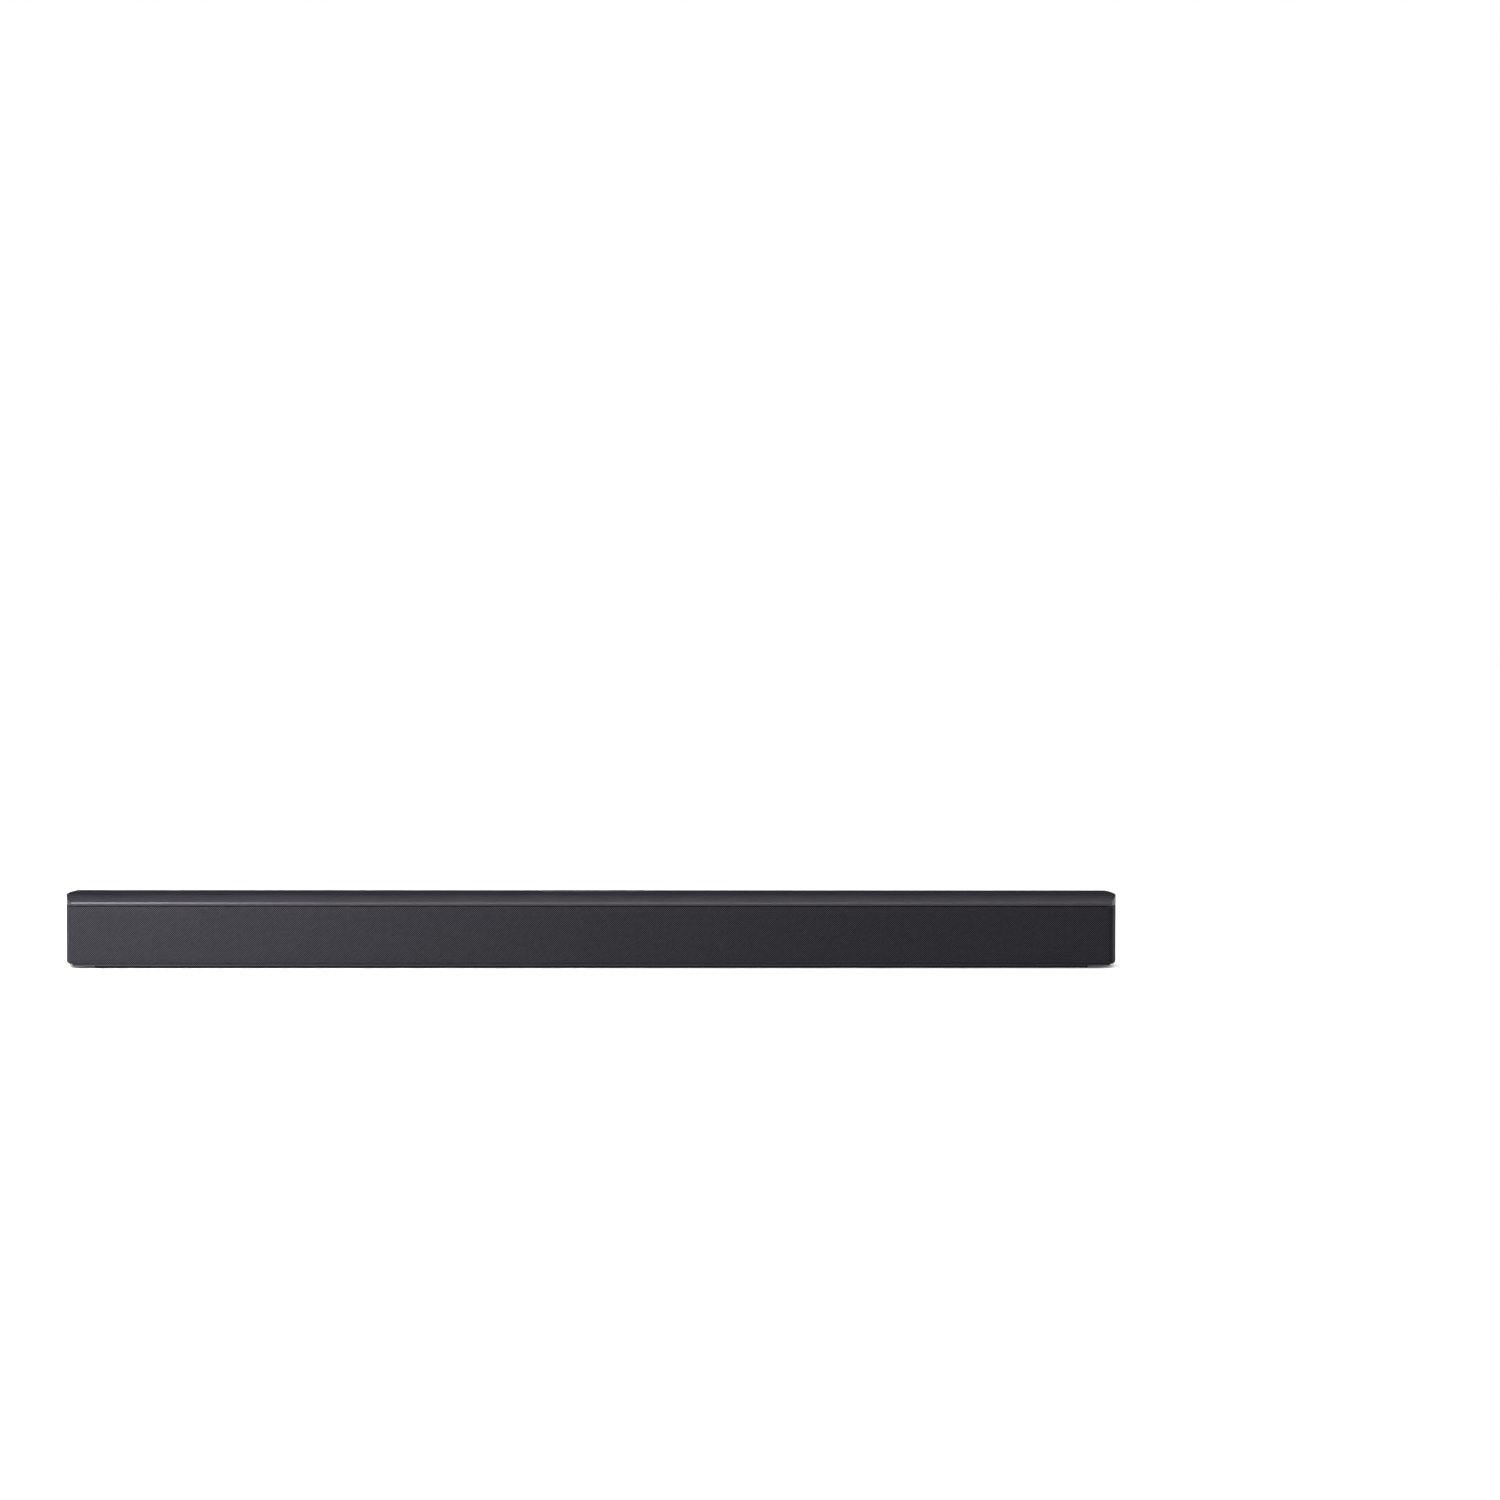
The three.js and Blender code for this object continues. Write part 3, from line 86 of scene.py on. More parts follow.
DECK_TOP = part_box("top_cover")[1].z
SHADOW_GAP = 0.7 * MM
DECK_BOTTOM = CLOTH_HIGH.z + SHADOW_GAP
DECK_WALL = 2.2 * MM
BEVEL_DEPTH = 22 * MM
BEVEL_CROWN = 0.25 * MM  # how far the middle of the bevel swells
CREASE_STEP = 0.4 * MM  # between the sections on each side of the bevel's rear line
FRONT_FACE = 1.9 * MM  # the upright part of the front edge
NOSE_RADIUS = 0.8 * MM
NOSE_Z = DECK_BOTTOM + FRONT_FACE
UNDER_EDGE = 0.3 * MM
REAR_EDGE = 1.5 * MM
DECK_CORNERS = (1.5 * MM, 5 * MM)  # in plan, at the front and at the rear
DECK_END_EDGE = 0.45 * MM
MOST_ROUNDING = 0.45  # of the height of a section
SHARP_ANGLE = 20  # degrees, above which an edge of the deck is shaded as sharp
RECESS_CORNER = 2.5 * MM
STRIP_LEDGE = 1.5 * MM
STRIP_OPENING_CORNER = 1 * MM

GRILLE_CORNER = 5 * MM
GRILLE_REAR_CORNER = 0.5 * MM
GRILLE_END_ROUNDING = 3 * MM
GRILLE_HEM = 0.7 * MM  # the rounding along the upper and lower edges
CLOTH_THICKNESS = 0.9 * MM
WEAVE_PITCH = 1.75 * MM

KEY_NAMES = ("source", "volume_down", "volume_up", "power")


# ---- Node materials ------------------------------------------------------------------------

def new_material(name):
    """An empty Principled material, as its node tree and its shader."""
    material = bpy.data.materials.new(name)
    material.use_nodes = True
    return material, material.node_tree, material.node_tree.nodes["Principled BSDF"]


def add(tree, kind, inputs=None, **properties):
    """A new node. An input is given by its name or number, as a value or as a socket to link."""
    node = tree.nodes.new(kind)
    for name, value in properties.items():
        setattr(node, name, value)
    for key, value in (inputs or {}).items():
        if isinstance(value, bpy.types.NodeSocket):
            tree.links.new(value, node.inputs[key])
        else:
            node.inputs[key].default_value = value
    return node


def math_node(tree, operation, a, b=0.0):
    return add(tree, "ShaderNodeMath", {0: a, 1: b}, operation=operation).outputs[0]


def place(tree):
    """Where a point is on the object, in metres."""
    return add(tree, "ShaderNodeTexCoord").outputs["Object"]


def noise(tree, size, detail=2.0, where=None):
    """Noise whose blotches are about the given size across, in metres."""
    inputs = {"Vector": where or place(tree), "Scale": 0.6 / size, "Detail": detail}
    return add(tree, "ShaderNodeTexNoise", inputs).outputs["Fac"]


def spread(tree, value, low, high, start=0.3, end=0.7):
    """Maps a noise value from its usual range to low..high."""
    inputs = {"Value": value, "From Min": start, "From Max": end, "To Min": low, "To Max": high}
    return add(tree, "ShaderNodeMapRange", inputs).outputs["Result"]


def tinted(tree, factor, dark, light):
    """A colour between two, by a factor."""
    mix = add(tree, "ShaderNodeMix", data_type="RGBA")
    tree.links.new(factor, mix.inputs["Factor"])
    mix.inputs["A"].default_value = (*dark, 1)
    mix.inputs["B"].default_value = (*light, 1)
    return mix.outputs["Result"]


def bump(tree, height, depth, before=None):
    inputs = {"Height": height, "Strength": 1.0, "Distance": depth}
    if before is not None:
        inputs["Normal"] = before
    return add(tree, "ShaderNodeBump", inputs).outputs["Normal"]


def shade(colour, factor):
    return tuple(min(1.0, c * factor) for c in colour)


def moulded_plastic(name, colour, roughness=0.45, grain=0.22 * MM, depth=0.012 * MM, specular=0.5,
                    tint=(1.0, 1.0, 1.0), ior=1.5):
    """Injection-moulded plastic: a fine spark-eroded grain, slow drifts of tone and gloss."""
    material, tree, shader = new_material(name)
    drift = noise(tree, 60 * MM, 3)
    tree.links.new(tinted(tree, spread(tree, drift, 0, 1), shade(colour, 0.9), shade(colour, 1.1)),
                   shader.inputs["Base Color"])
    handled = noise(tree, 14 * MM, 4)
    tree.links.new(spread(tree, handled, roughness - 0.02, roughness + 0.02), shader.inputs["Roughness"])
    fine = noise(tree, grain, 3)
    tree.links.new(bump(tree, fine, depth), shader.inputs["Normal"])
    shader.inputs["Specular IOR Level"].default_value = specular
    shader.inputs["Specular Tint"].default_value = (*tint, 1)
    shader.inputs["IOR"].default_value = ior
    return material


def speaker_cloth(name, thread, hollow):
    """A fine twill, laid out on the cloth's own flat coordinates: crossing diagonal threads, the
    rising ones on top, with short, faint streaks of tone along them, and painted shade in the
    hollows between the threads."""
    rising_share = 0.62
    streak_width, streak_length = 1.5 * WEAVE_PITCH, 5 * WEAVE_PITCH
    material, tree, shader = new_material(name)
    flat = add(tree, "ShaderNodeUVMap", uv_map="flat").outputs["UV"]
    apart = add(tree, "ShaderNodeSeparateXYZ", {"Vector": flat})
    across_rising = math_node(tree, "SUBTRACT", apart.outputs["X"], apart.outputs["Y"])
    across_falling = math_node(tree, "ADD", apart.outputs["X"], apart.outputs["Y"])
    turn = 2 * math.pi / WEAVE_PITCH
    over = math_node(tree, "COSINE", math_node(tree, "MULTIPLY", across_rising, turn))
    under = math_node(tree, "COSINE", math_node(tree, "MULTIPLY", across_falling, turn))
    weave = math_node(tree, "ADD", math_node(tree, "MULTIPLY", over, rising_share),
                      math_node(tree, "MULTIPLY", under, 1 - rising_share))
    along_thread = add(tree, "ShaderNodeCombineXYZ", {
        "X": math_node(tree, "DIVIDE", across_rising, streak_width),
        "Y": math_node(tree, "DIVIDE", across_falling, streak_length),
    }).outputs["Vector"]
    streak = add(tree, "ShaderNodeTexNoise", {"Vector": along_thread, "Scale": 1.0, "Detail": 3.0})
    fibre = noise(tree, 0.18 * MM, 2)
    height = math_node(tree, "ADD", weave, spread(tree, fibre, -0.2, 0.2))
    tone = math_node(tree, "ADD", height, spread(tree, streak.outputs["Fac"], -0.1, 0.1))
    # The tone is painted shade from the weave's relief, darkest in the hollows between the threads, plus the
    # cloth's own random streaks and fibre.
    lit = spread(tree, tone, 0, 1, start=-0.25, end=0.25)
    tree.links.new(tinted(tree, lit, hollow, thread), shader.inputs["Base Color"])
    tree.links.new(bump(tree, height, 0.12 * MM), shader.inputs["Normal"])
    tree.links.new(spread(tree, fibre, 0.55, 0.75), shader.inputs["Roughness"])
    shader.inputs["Sheen Weight"].default_value = 0.04
    shader.inputs["Sheen Roughness"].default_value = 0.4
    shader.inputs["Specular IOR Level"].default_value = 0.2
    return material


def rubber(name, colour):
    """Matt rubber with a fine tooth and a little dust held in it."""
    material, tree, shader = new_material(name)
    dust = spread(tree, noise(tree, 3 * MM, 5), 0, 1, start=0.5, end=0.75)
    tree.links.new(tinted(tree, dust, colour, shade(colour, 1.7)), shader.inputs["Base Color"])
    tree.links.new(spread(tree, noise(tree, 2 * MM, 3), 0.75, 0.92), shader.inputs["Roughness"])
    tree.links.new(bump(tree, noise(tree, 0.3 * MM, 3), 0.03 * MM), shader.inputs["Normal"])
    return material


def metal(name, colour, roughness=0.3, brushing=(1, 1, 1), depth=0.004 * MM):
    """Bare or plated metal: brushing is how far the scratches stretch along each axis."""
    material, tree, shader = new_material(name)
    squeeze = Vector((1 / brushing[0], 1 / brushing[1], 1 / brushing[2]))
    stretched = add(tree, "ShaderNodeMapping", {"Vector": place(tree), "Scale": squeeze}).outputs["Vector"]
    scratch = noise(tree, 0.25 * MM, 3, stretched)
    tree.links.new(tinted(tree, spread(tree, noise(tree, 6 * MM, 3), 0, 1), shade(colour, 0.88), colour),
                   shader.inputs["Base Color"])
    tree.links.new(spread(tree, scratch, roughness - 0.07, roughness + 0.1), shader.inputs["Roughness"])
    tree.links.new(bump(tree, scratch, depth), shader.inputs["Normal"])
    shader.inputs["Metallic"].default_value = 1.0
    return material


def circuit_board(name, mask):
    """Solder mask over a faint pattern of copper tracks."""
    tracks_per_metre = 260.0
    material, tree, shader = new_material(name)
    tracks = add(tree, "ShaderNodeTexVoronoi", {"Vector": place(tree), "Scale": tracks_per_metre},
                 feature="DISTANCE_TO_EDGE", distance="MANHATTAN").outputs["Distance"]
    edge = spread(tree, tracks, 1, 0, start=0.04, end=0.09)
    tree.links.new(tinted(tree, edge, mask, shade(mask, 1.8)), shader.inputs["Base Color"])
    tree.links.new(bump(tree, edge, 0.03 * MM), shader.inputs["Normal"])
    tree.links.new(spread(tree, noise(tree, 10 * MM, 2), 0.28, 0.4), shader.inputs["Roughness"])
    return material


def woven(name, light, dark, pitch=0.9 * MM):
    """A resin-stiffened cloth: two crossing sets of threads, with painted shade at the weave's low points."""
    material, tree, shader = new_material(name)
    apart = add(tree, "ShaderNodeSeparateXYZ", {"Vector": place(tree)})
    turn = 2 * math.pi / pitch
    over = math_node(tree, "SINE", math_node(tree, "MULTIPLY", apart.outputs["X"], turn))
    under = math_node(tree, "SINE", math_node(tree, "MULTIPLY", apart.outputs["Z"], turn))
    height = math_node(tree, "MULTIPLY", over, under)
    # painted shade: the weave's low points get the dark colour and its high points the light one
    tree.links.new(tinted(tree, spread(tree, height, 0, 1, -1, 1), dark, light), shader.inputs["Base Color"])
    tree.links.new(bump(tree, height, 0.08 * MM), shader.inputs["Normal"])
    shader.inputs["Roughness"].default_value = 0.8
    return material


def winding(name, colour, wire=0.22 * MM):
    """Turns of lacquered wire laid side by side along Y, with painted shade in the grooves between the turns.
    """
    material, tree, shader = new_material(name)
    apart = add(tree, "ShaderNodeSeparateXYZ", {"Vector": place(tree)})
    turns = math_node(tree, "MULTIPLY", apart.outputs["Y"], math.pi / wire)
    height = math_node(tree, "ABSOLUTE", math_node(tree, "SINE", turns))
    # painted shade: each turn darkens to about a third of its colour in the grooves beside its neighbours
    tree.links.new(tinted(tree, height, shade(colour, 0.35), colour), shader.inputs["Base Color"])
    tree.links.new(bump(tree, height, 0.1 * MM), shader.inputs["Normal"])
    shader.inputs["Metallic"].default_value = 0.8
    shader.inputs["Roughness"].default_value = 0.32
    return material


DECK_COLOUR = (0.014, 0.0135, 0.018)
HOUSING_COLOUR = (0.030, 0.030, 0.034)

DECK = moulded_plastic("deck_plastic", DECK_COLOUR, roughness=0.3, grain=0.3 * MM, depth=0.002 * MM,
                       specular=0.85, tint=(0.95, 0.9, 1.0), ior=1.75)
# the hollow colour is painted shade between the threads
CLOTH = speaker_cloth("grille_fabric", thread=(0.078, 0.076, 0.094), hollow=(0.001, 0.001, 0.0015))
HOUSING = moulded_plastic("housing_plastic", HOUSING_COLOUR, roughness=0.5, grain=0.45 * MM, depth=0.03 * MM)
LIP = moulded_plastic("lip_plastic", (0.048, 0.046, 0.056), roughness=0.42, specular=0.7)
BASE = moulded_plastic("base_plastic", (0.018, 0.018, 0.020), roughness=0.55, grain=0.5 * MM, depth=0.03 * MM)
FOOT = rubber("foot_rubber", (0.014, 0.014, 0.015))
KEY = moulded_plastic("key_plastic", (0.105, 0.102, 0.122), roughness=0.4, grain=0.2 * MM, depth=0.006 * MM)
MARK = moulded_plastic("key_mark_ink", (0.52, 0.52, 0.55), roughness=0.5, grain=0.15 * MM, depth=0.004 * MM)
SOCKET = moulded_plastic("socket_plastic", (0.016, 0.016, 0.018), roughness=0.38, depth=0.01 * MM)
BOARD = circuit_board("circuit_board", (0.010, 0.085, 0.040))
STEEL = metal("stamped_steel", (0.62, 0.63, 0.65), roughness=0.3, brushing=(1, 8, 1))
DRIVER_STEEL = moulded_plastic("driver_steel", (0.028, 0.028, 0.031), roughness=0.42, grain=0.6 * MM)
ALUMINIUM = metal("heat_sink_aluminium", (0.74, 0.75, 0.77), roughness=0.36, brushing=(1, 12, 1))
BRASS = metal("insert_brass", (0.78, 0.56, 0.24), roughness=0.28)
GOLD = metal("contact_gold", (0.83, 0.62, 0.28), roughness=0.22)
COPPER = winding("coil_copper", (0.62, 0.27, 0.12))
FERRITE = rubber("magnet_ferrite", (0.045, 0.045, 0.048))
CONE = moulded_plastic("cone_polypropylene", (0.022, 0.022, 0.024), roughness=0.36, grain=0.8 * MM)
# the second colour is painted shade for the low points of the weave
SUSPENSION = woven("suspension_cloth", (0.52, 0.38, 0.16), (0.24, 0.16, 0.06))
SURROUND = rubber("surround_rubber", (0.018, 0.018, 0.019))
LENS = moulded_plastic("display_lens", (0.040, 0.006, 0.006), roughness=0.12, grain=1 * MM, depth=0.001 * MM)
LEAD = moulded_plastic("lead_insulation", (0.34, 0.02, 0.02), roughness=0.42, grain=0.4 * MM)


# ---- Mesh helpers --------------------------------------------------------------------------

def new_piece(name, mesh_data, material, body="housing", replaces=(), smooth=32):
    """Finishes a bmesh as a piece of the object, riding on a CAD body."""
    bmesh.ops.recalc_face_normals(mesh_data, faces=mesh_data.faces)
    mesh = bpy.data.meshes.new(name)
    mesh_data.to_mesh(mesh)
    mesh_data.free()
    mesh.polygons.foreach_set("use_smooth", [True] * len(mesh.polygons))
    mesh.set_sharp_from_angle(angle=math.radians(smooth))
    piece = bpy.data.objects.new(name, mesh)
    bpy.context.scene.collection.objects.link(piece)
    mesh.materials.append(material)
    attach(piece, body)
    if replaces:
        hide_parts(*replaces)
    return piece


def loft(rings, mesh_data=None):
    """A closed solid through rings of equal length, each a list of points."""
    mesh_data = mesh_data or bmesh.new()
    rows = [[mesh_data.verts.new(point) for point in ring] for ring in rings]
    count = len(rows[0])
    for a, b in zip(rows, rows[1:]):
        for i in range(count):
            j = (i + 1) % count
            mesh_data.faces.new((a[i], a[j], b[j], b[i]))
    mesh_data.faces.new(rows[0])
    mesh_data.faces.new(list(reversed(rows[-1])))
    return mesh_data


def prism(outline, low, high, mesh_data=None):
    """An outline in plan, raised straight up from one height to another."""
    return loft([[(x, y, z) for x, y in outline] for z in (low, high)], mesh_data)


def block(low, high, mesh_data):
    """A box between two corners."""
    (x0, y0, z0), (x1, y1, z1) = low, high
    return prism([(x0, y0), (x1, y0), (x1, y1), (x0, y1)], z0, z1, mesh_data)


def arc(centre, radius, start, end, steps):
    """Points on an arc, from one angle to another in degrees, both ends included."""
    angles = [math.radians(start + (end - start) * i / steps) for i in range(steps + 1)]
    return [(centre[0] + radius * math.cos(a), centre[1] + radius * math.sin(a)) for a in angles]


def rounded_rectangle(width, height, corner, x=0.0, y=0.0, steps=6):
    a, b = width / 2 - corner, height / 2 - corner
    points = []
    for sign_x, sign_y, start in ((1, -1, -90), (1, 1, 0), (-1, 1, 90), (-1, -1, 180)):
        points += arc((x + sign_x * a, y + sign_y * b), corner, start, start + 90, steps)
    return points


def soften(mesh_data, width, segments=2, angle=35):
    """Rounds every edge that is sharper than an angle."""
    edges = [e for e in mesh_data.edges if e.is_manifold and e.calc_face_angle() > math.radians(angle)]
    bmesh.ops.bevel(mesh_data, geom=edges, offset=width, segments=segments, affect="EDGES",
                    profile=0.5, clamp_overlap=True)
    return mesh_data


def cut(piece, *cutters):
    """Takes closed meshes out of a piece."""
    for cutter in cutters:
        bmesh.ops.recalc_face_normals(cutter, faces=cutter.faces)
        mesh = bpy.data.meshes.new("cutter")
        cutter.to_mesh(mesh)
        cutter.free()
        tool = bpy.data.objects.new("cutter", mesh)
        bpy.context.scene.collection.objects.link(tool)
        modifier = piece.modifiers.new("cut", "BOOLEAN")
        modifier.operation, modifier.solver, modifier.object = "DIFFERENCE", "EXACT", tool
        graph = bpy.context.evaluated_depsgraph_get()
        result = bpy.data.meshes.new_from_object(piece.evaluated_get(graph), depsgraph=graph)
        piece.modifiers.clear()
        old, piece.data = piece.data, result
        bpy.data.meshes.remove(old)
        bpy.data.objects.remove(tool)
        bpy.data.meshes.remove(mesh)
    piece.data.name = piece.name
    return piece


def eased_copy(node, material, width=0.15 * MM, segments=2, body="housing"):
    """The CAD node's own shape with its sharp edges rounded, as a piece that stands for it."""
    mesh_data = bmesh.new()
    mesh_data.from_mesh(frame["nodes"][node].data)
    bmesh.ops.remove_doubles(mesh_data, verts=mesh_data.verts, dist=0.001 * MM)
    bmesh.ops.dissolve_limit(mesh_data, angle_limit=math.radians(0.5), verts=mesh_data.verts,
                             edges=mesh_data.edges)
    soften(mesh_data, width, segments)
    return new_piece(node + "_moulding", mesh_data, material, body, [node])


# ---- Plan of the bar -----------------------------------------------------------------------

def end_arc_x(y, inset=0.0):
    """How far the bar's end reaches at y, drawn in by an inset."""
    radius = FRONT_END_ARC if y < WIDEST_Y else REAR_END_ARC
    return HALF_LENGTH - radius + math.sqrt((radius - inset) ** 2 - (y - WIDEST_Y) ** 2)


def corner_of(y_edge, corner, inset, side):
    """The centre of a corner that touches a straight edge and the end arc, and its far angle."""
    radius = (FRONT_END_ARC if side < 0 else REAR_END_ARC) - inset
    arc_x = HALF_LENGTH - radius - inset
    y = y_edge - side * corner
    x = arc_x + math.sqrt((radius - corner) ** 2 - (y - WIDEST_Y) ** 2)
    return x, y, math.atan2(y - WIDEST_Y, x - arc_x)


def plan_half(inset, front, rear, front_corner, rear_corner, steps=8, end_steps=14):
    """The right end of the plan, from the front edge round to the rear edge, as (x, y) points."""
    front_x, front_y, front_angle = corner_of(front, front_corner, inset, -1)
    rear_x, rear_y, rear_angle = corner_of(rear, rear_corner, inset, 1)
    points = arc((front_x, front_y), front_corner, -90, math.degrees(front_angle), steps)
    start = points[-1][1]
    end = rear_y + rear_corner * math.sin(rear_angle)
    for i in range(1, end_steps):
        y = start + (end - start) * i / end_steps
        points.append((end_arc_x(y, inset), y))
    return points + arc((rear_x, rear_y), rear_corner, math.degrees(rear_angle), 90, steps)


def plan_x(half, y):
    """The plan's half length at y, between its points."""
    for (x0, y0), (x1, y1) in zip(half, half[1:]):
        if y0 <= y <= y1 and y1 > y0:
            return x0 + (x1 - x0) * (y - y0) / (y1 - y0)
    return half[0][0] if y < half[0][1] else half[-1][0]


# ---- Top deck ------------------------------------------------------------------------------

def bevel_angle():
    run, rise = BEVEL_DEPTH - NOSE_RADIUS, DECK_TOP - NOSE_Z
    return math.atan2(rise, run) - math.asin(NOSE_RADIUS / math.hypot(run, rise))


def deck_heights(y):
    """The deck's underside and top at y: an upright front, a round nose, a long bevel and a flat top."""
    slope = bevel_angle()
    nose_y = FRONT + NOSE_RADIUS
    tangent = nose_y - NOSE_RADIUS * math.sin(slope)
    short_of_edge = min(UNDER_EDGE, max(0.0, FRONT + UNDER_EDGE - y))
    bottom = DECK_BOTTOM + UNDER_EDGE - math.sqrt(UNDER_EDGE ** 2 - short_of_edge ** 2)
    if y < tangent:
        top = NOSE_Z + math.sqrt(max(0.0, NOSE_RADIUS ** 2 - (y - nose_y) ** 2))
    elif y < FRONT + BEVEL_DEPTH:
        along = (y - tangent) / (FRONT + BEVEL_DEPTH - tangent)
        crown = 4 * BEVEL_CROWN * along * (1 - along)
        top = DECK_TOP - (FRONT + BEVEL_DEPTH - y) * math.tan(slope) + crown
    elif y < REAR - REAR_EDGE:
        top = DECK_TOP
    else:
        top = DECK_TOP - REAR_EDGE + math.sqrt(max(0.0, REAR_EDGE ** 2 - (y - REAR + REAR_EDGE) ** 2))
    return bottom, top


def deck_ring(y, half_length, edge, steps=4):
    """The deck's outline across the bar at one y, with its end edges rounded."""
    bottom, top = deck_heights(y)
    radius = min(edge, MOST_ROUNDING * (top - bottom))
    x = half_length - radius
    right = arc((x, bottom + radius), radius, -90, 0, steps) + arc((x, top - radius), radius, 0, 90, steps)
    left = [(-px, pz) for px, pz in reversed(right)]
    return [(px, y, pz) for px, pz in right + left]


def deck():
    """The top cover: one long moulding with a hollow underside and a recess for the control strip."""
    nose = [FRONT + NOSE_RADIUS * (1 - math.cos(math.radians(a))) for a in range(0, 90, 9)]
    crease = FRONT + BEVEL_DEPTH
    ease = [crease + i * CREASE_STEP for i in range(-2, 3)]
    crown_steps = 9
    crown = [nose[-1] + (ease[0] - nose[-1]) * i / crown_steps for i in range(1, crown_steps)]
    rear_edge = [REAR - REAR_EDGE * (1 - math.sin(math.radians(a))) for a in range(0, 91, 10)]
    half = plan_half(0, FRONT, REAR, *DECK_CORNERS)
    stations = sorted(set(nose + crown + ease + rear_edge + [y for _, y in half if y > nose[0]]))
    table = {y: x for x, y in half}
    rings = [deck_ring(y, table.get(y) or plan_x(half, y), DECK_END_EDGE) for y in stations]
    piece = new_piece("deck", loft(rings), DECK, replaces=["top_cover"], smooth=SHARP_ANGLE)
    wall = DECK_WALL
    hollow_half = [(x - wall, y) for x, y in half if FRONT + wall < y < REAR - wall]
    hollow = [[(-x, y, DECK_BOTTOM - wall), (x, y, DECK_BOTTOM - wall),
               (x, y, deck_heights(y)[1] - wall), (-x, y, deck_heights(y)[1] - wall)]
              for x, y in hollow_half]
    middle = (STRIP_LOW + STRIP_HIGH) / 2
    size = STRIP_HIGH - STRIP_LOW
    recess = rounded_rectangle(size.x + 2 * GAP, size.y + 2 * GAP, RECESS_CORNER, middle.x, middle.y)
    opening = rounded_rectangle(size.x - 2 * STRIP_LEDGE, size.y - 2 * STRIP_LEDGE, STRIP_OPENING_CORNER,
                                middle.x, middle.y)
    cut(piece, loft(hollow),
        prism(recess, STRIP_LOW.z - GAP, DECK_TOP + MM),
        prism(opening, DECK_TOP - 2 * wall, DECK_TOP + MM))
    piece.data.set_sharp_from_angle(angle=math.radians(SHARP_ANGLE))
    return piece


# ---- Grille cloth --------------------------------------------------------------------------

def grille_path(inset):
    """The wrap's line in plan, from the left end's rear edge round the front to the right one's."""
    corner = GRILLE_CORNER - inset
    half = plan_half(inset, FRONT + inset, REAR, corner, GRILLE_REAR_CORNER, steps=10, end_steps=40)
    right = [(x, y) for x, y in half if y <= CLOTH_HIGH.y]
    right.append((end_arc_x(CLOTH_HIGH.y, inset), CLOTH_HIGH.y))
    front_x = half[0][0]
    columns = 48
    front = [(front_x * (2 * i / columns - 1), FRONT + inset) for i in range(1, columns)]
    return [(-x, y) for x, y in reversed(right)] + front + right


def grille_cloth():
    """The cloth, stretched round the frame: rounded hems above and below, and rounded lower ends."""
    hem_steps, rows = 5, 8
    hem = [math.radians(90 * i / hem_steps) for i in range(hem_steps + 1)]
    outer, inner = grille_path(0.0), grille_path(CLOTH_THICKNESS)
    mesh_data = bmesh.new()
    flat = mesh_data.loops.layers.uv.new("flat")
    lengths = [0.0]
    for (x0, y0), (x1, y1) in zip(outer, outer[1:]):
        lengths.append(lengths[-1] + math.hypot(x1 - x0, y1 - y0))
    columns, heights = [], []
    for (ox, oy), (ix, iy) in zip(outer, inner):
        past = min(GRILLE_END_ROUNDING, max(0.0, abs(ox) - (HALF_LENGTH - GRILLE_END_ROUNDING)))
        lift = GRILLE_END_ROUNDING - math.sqrt(GRILLE_END_ROUNDING ** 2 - past ** 2)
        low, high = CLOTH_LOW.z + lift, CLOTH_HIGH.z
        lower = [(1 - math.cos(a), low + GRILLE_HEM * (1 - math.sin(a))) for a in reversed(hem)]
        upper = [(1 - math.cos(a), high - GRILLE_HEM * (1 - math.sin(a))) for a in hem]
        middle = [(0.0, low + GRILLE_HEM + (high - low - 2 * GRILLE_HEM) * i / rows) for i in range(1, rows)]
        section = lower + middle + upper
        columns.append([mesh_data.verts.new((ox + (ix - ox) * t, oy + (iy - oy) * t, z)) for t, z in section])
        heights.append([z for _, z in section])
    for i in range(len(columns) - 1):
        for k in range(len(columns[i]) - 1):
            corners = ((i, k), (i + 1, k), (i + 1, k + 1), (i, k + 1))
            face = mesh_data.faces.new([columns[a][b] for a, b in corners])
            for loop, (a, b) in zip(face.loops, corners):
                loop[flat].uv = (lengths[a], heights[a][b])
    back = [(column[0], column[-1]) for column in columns]
    for (low_a, high_a), (low_b, high_b) in zip(back, back[1:]):
        mesh_data.faces.new((low_b, low_a, high_a, high_b))
    for column in (columns[0], columns[-1]):
        mesh_data.faces.new(column)
    piece = new_piece("grille_fabric", mesh_data, CLOTH, replaces=["grille_cloth"],
                      smooth=50)
    return piece


# ---- Keys ----------------------------------------------------------------------------------

MARK_LINE = 0.5 * MM
MARK_ROUNDING = 0.45  # of a bar's smaller side
MARK_SUNK, MARK_PROUD = 0.1 * MM, 0.04 * MM
DOT_SIZE, DOT_PITCH = 0.9 * MM, 1.6 * MM
SIGN_LENGTH = 3.8 * MM  # of the minus, and of each stroke of the plus
RING_RADIUS = 1.9 * MM
RING_START, RING_END = 125, 415  # degrees, which leave the ring open at its top
STROKE_LENGTH, STROKE_Y = 1.8 * MM, 1.4 * MM  # the short stroke in the ring's opening


def bar_mark(centre, width, height, top, mesh_data):
    """A flat printed bar, a little proud of the key."""
    corner = MARK_ROUNDING * min(width, height)
    outline = rounded_rectangle(width, height, corner, centre.x, centre.y, steps=3)
    prism(outline, top - MARK_SUNK, top + MARK_PROUD, mesh_data)


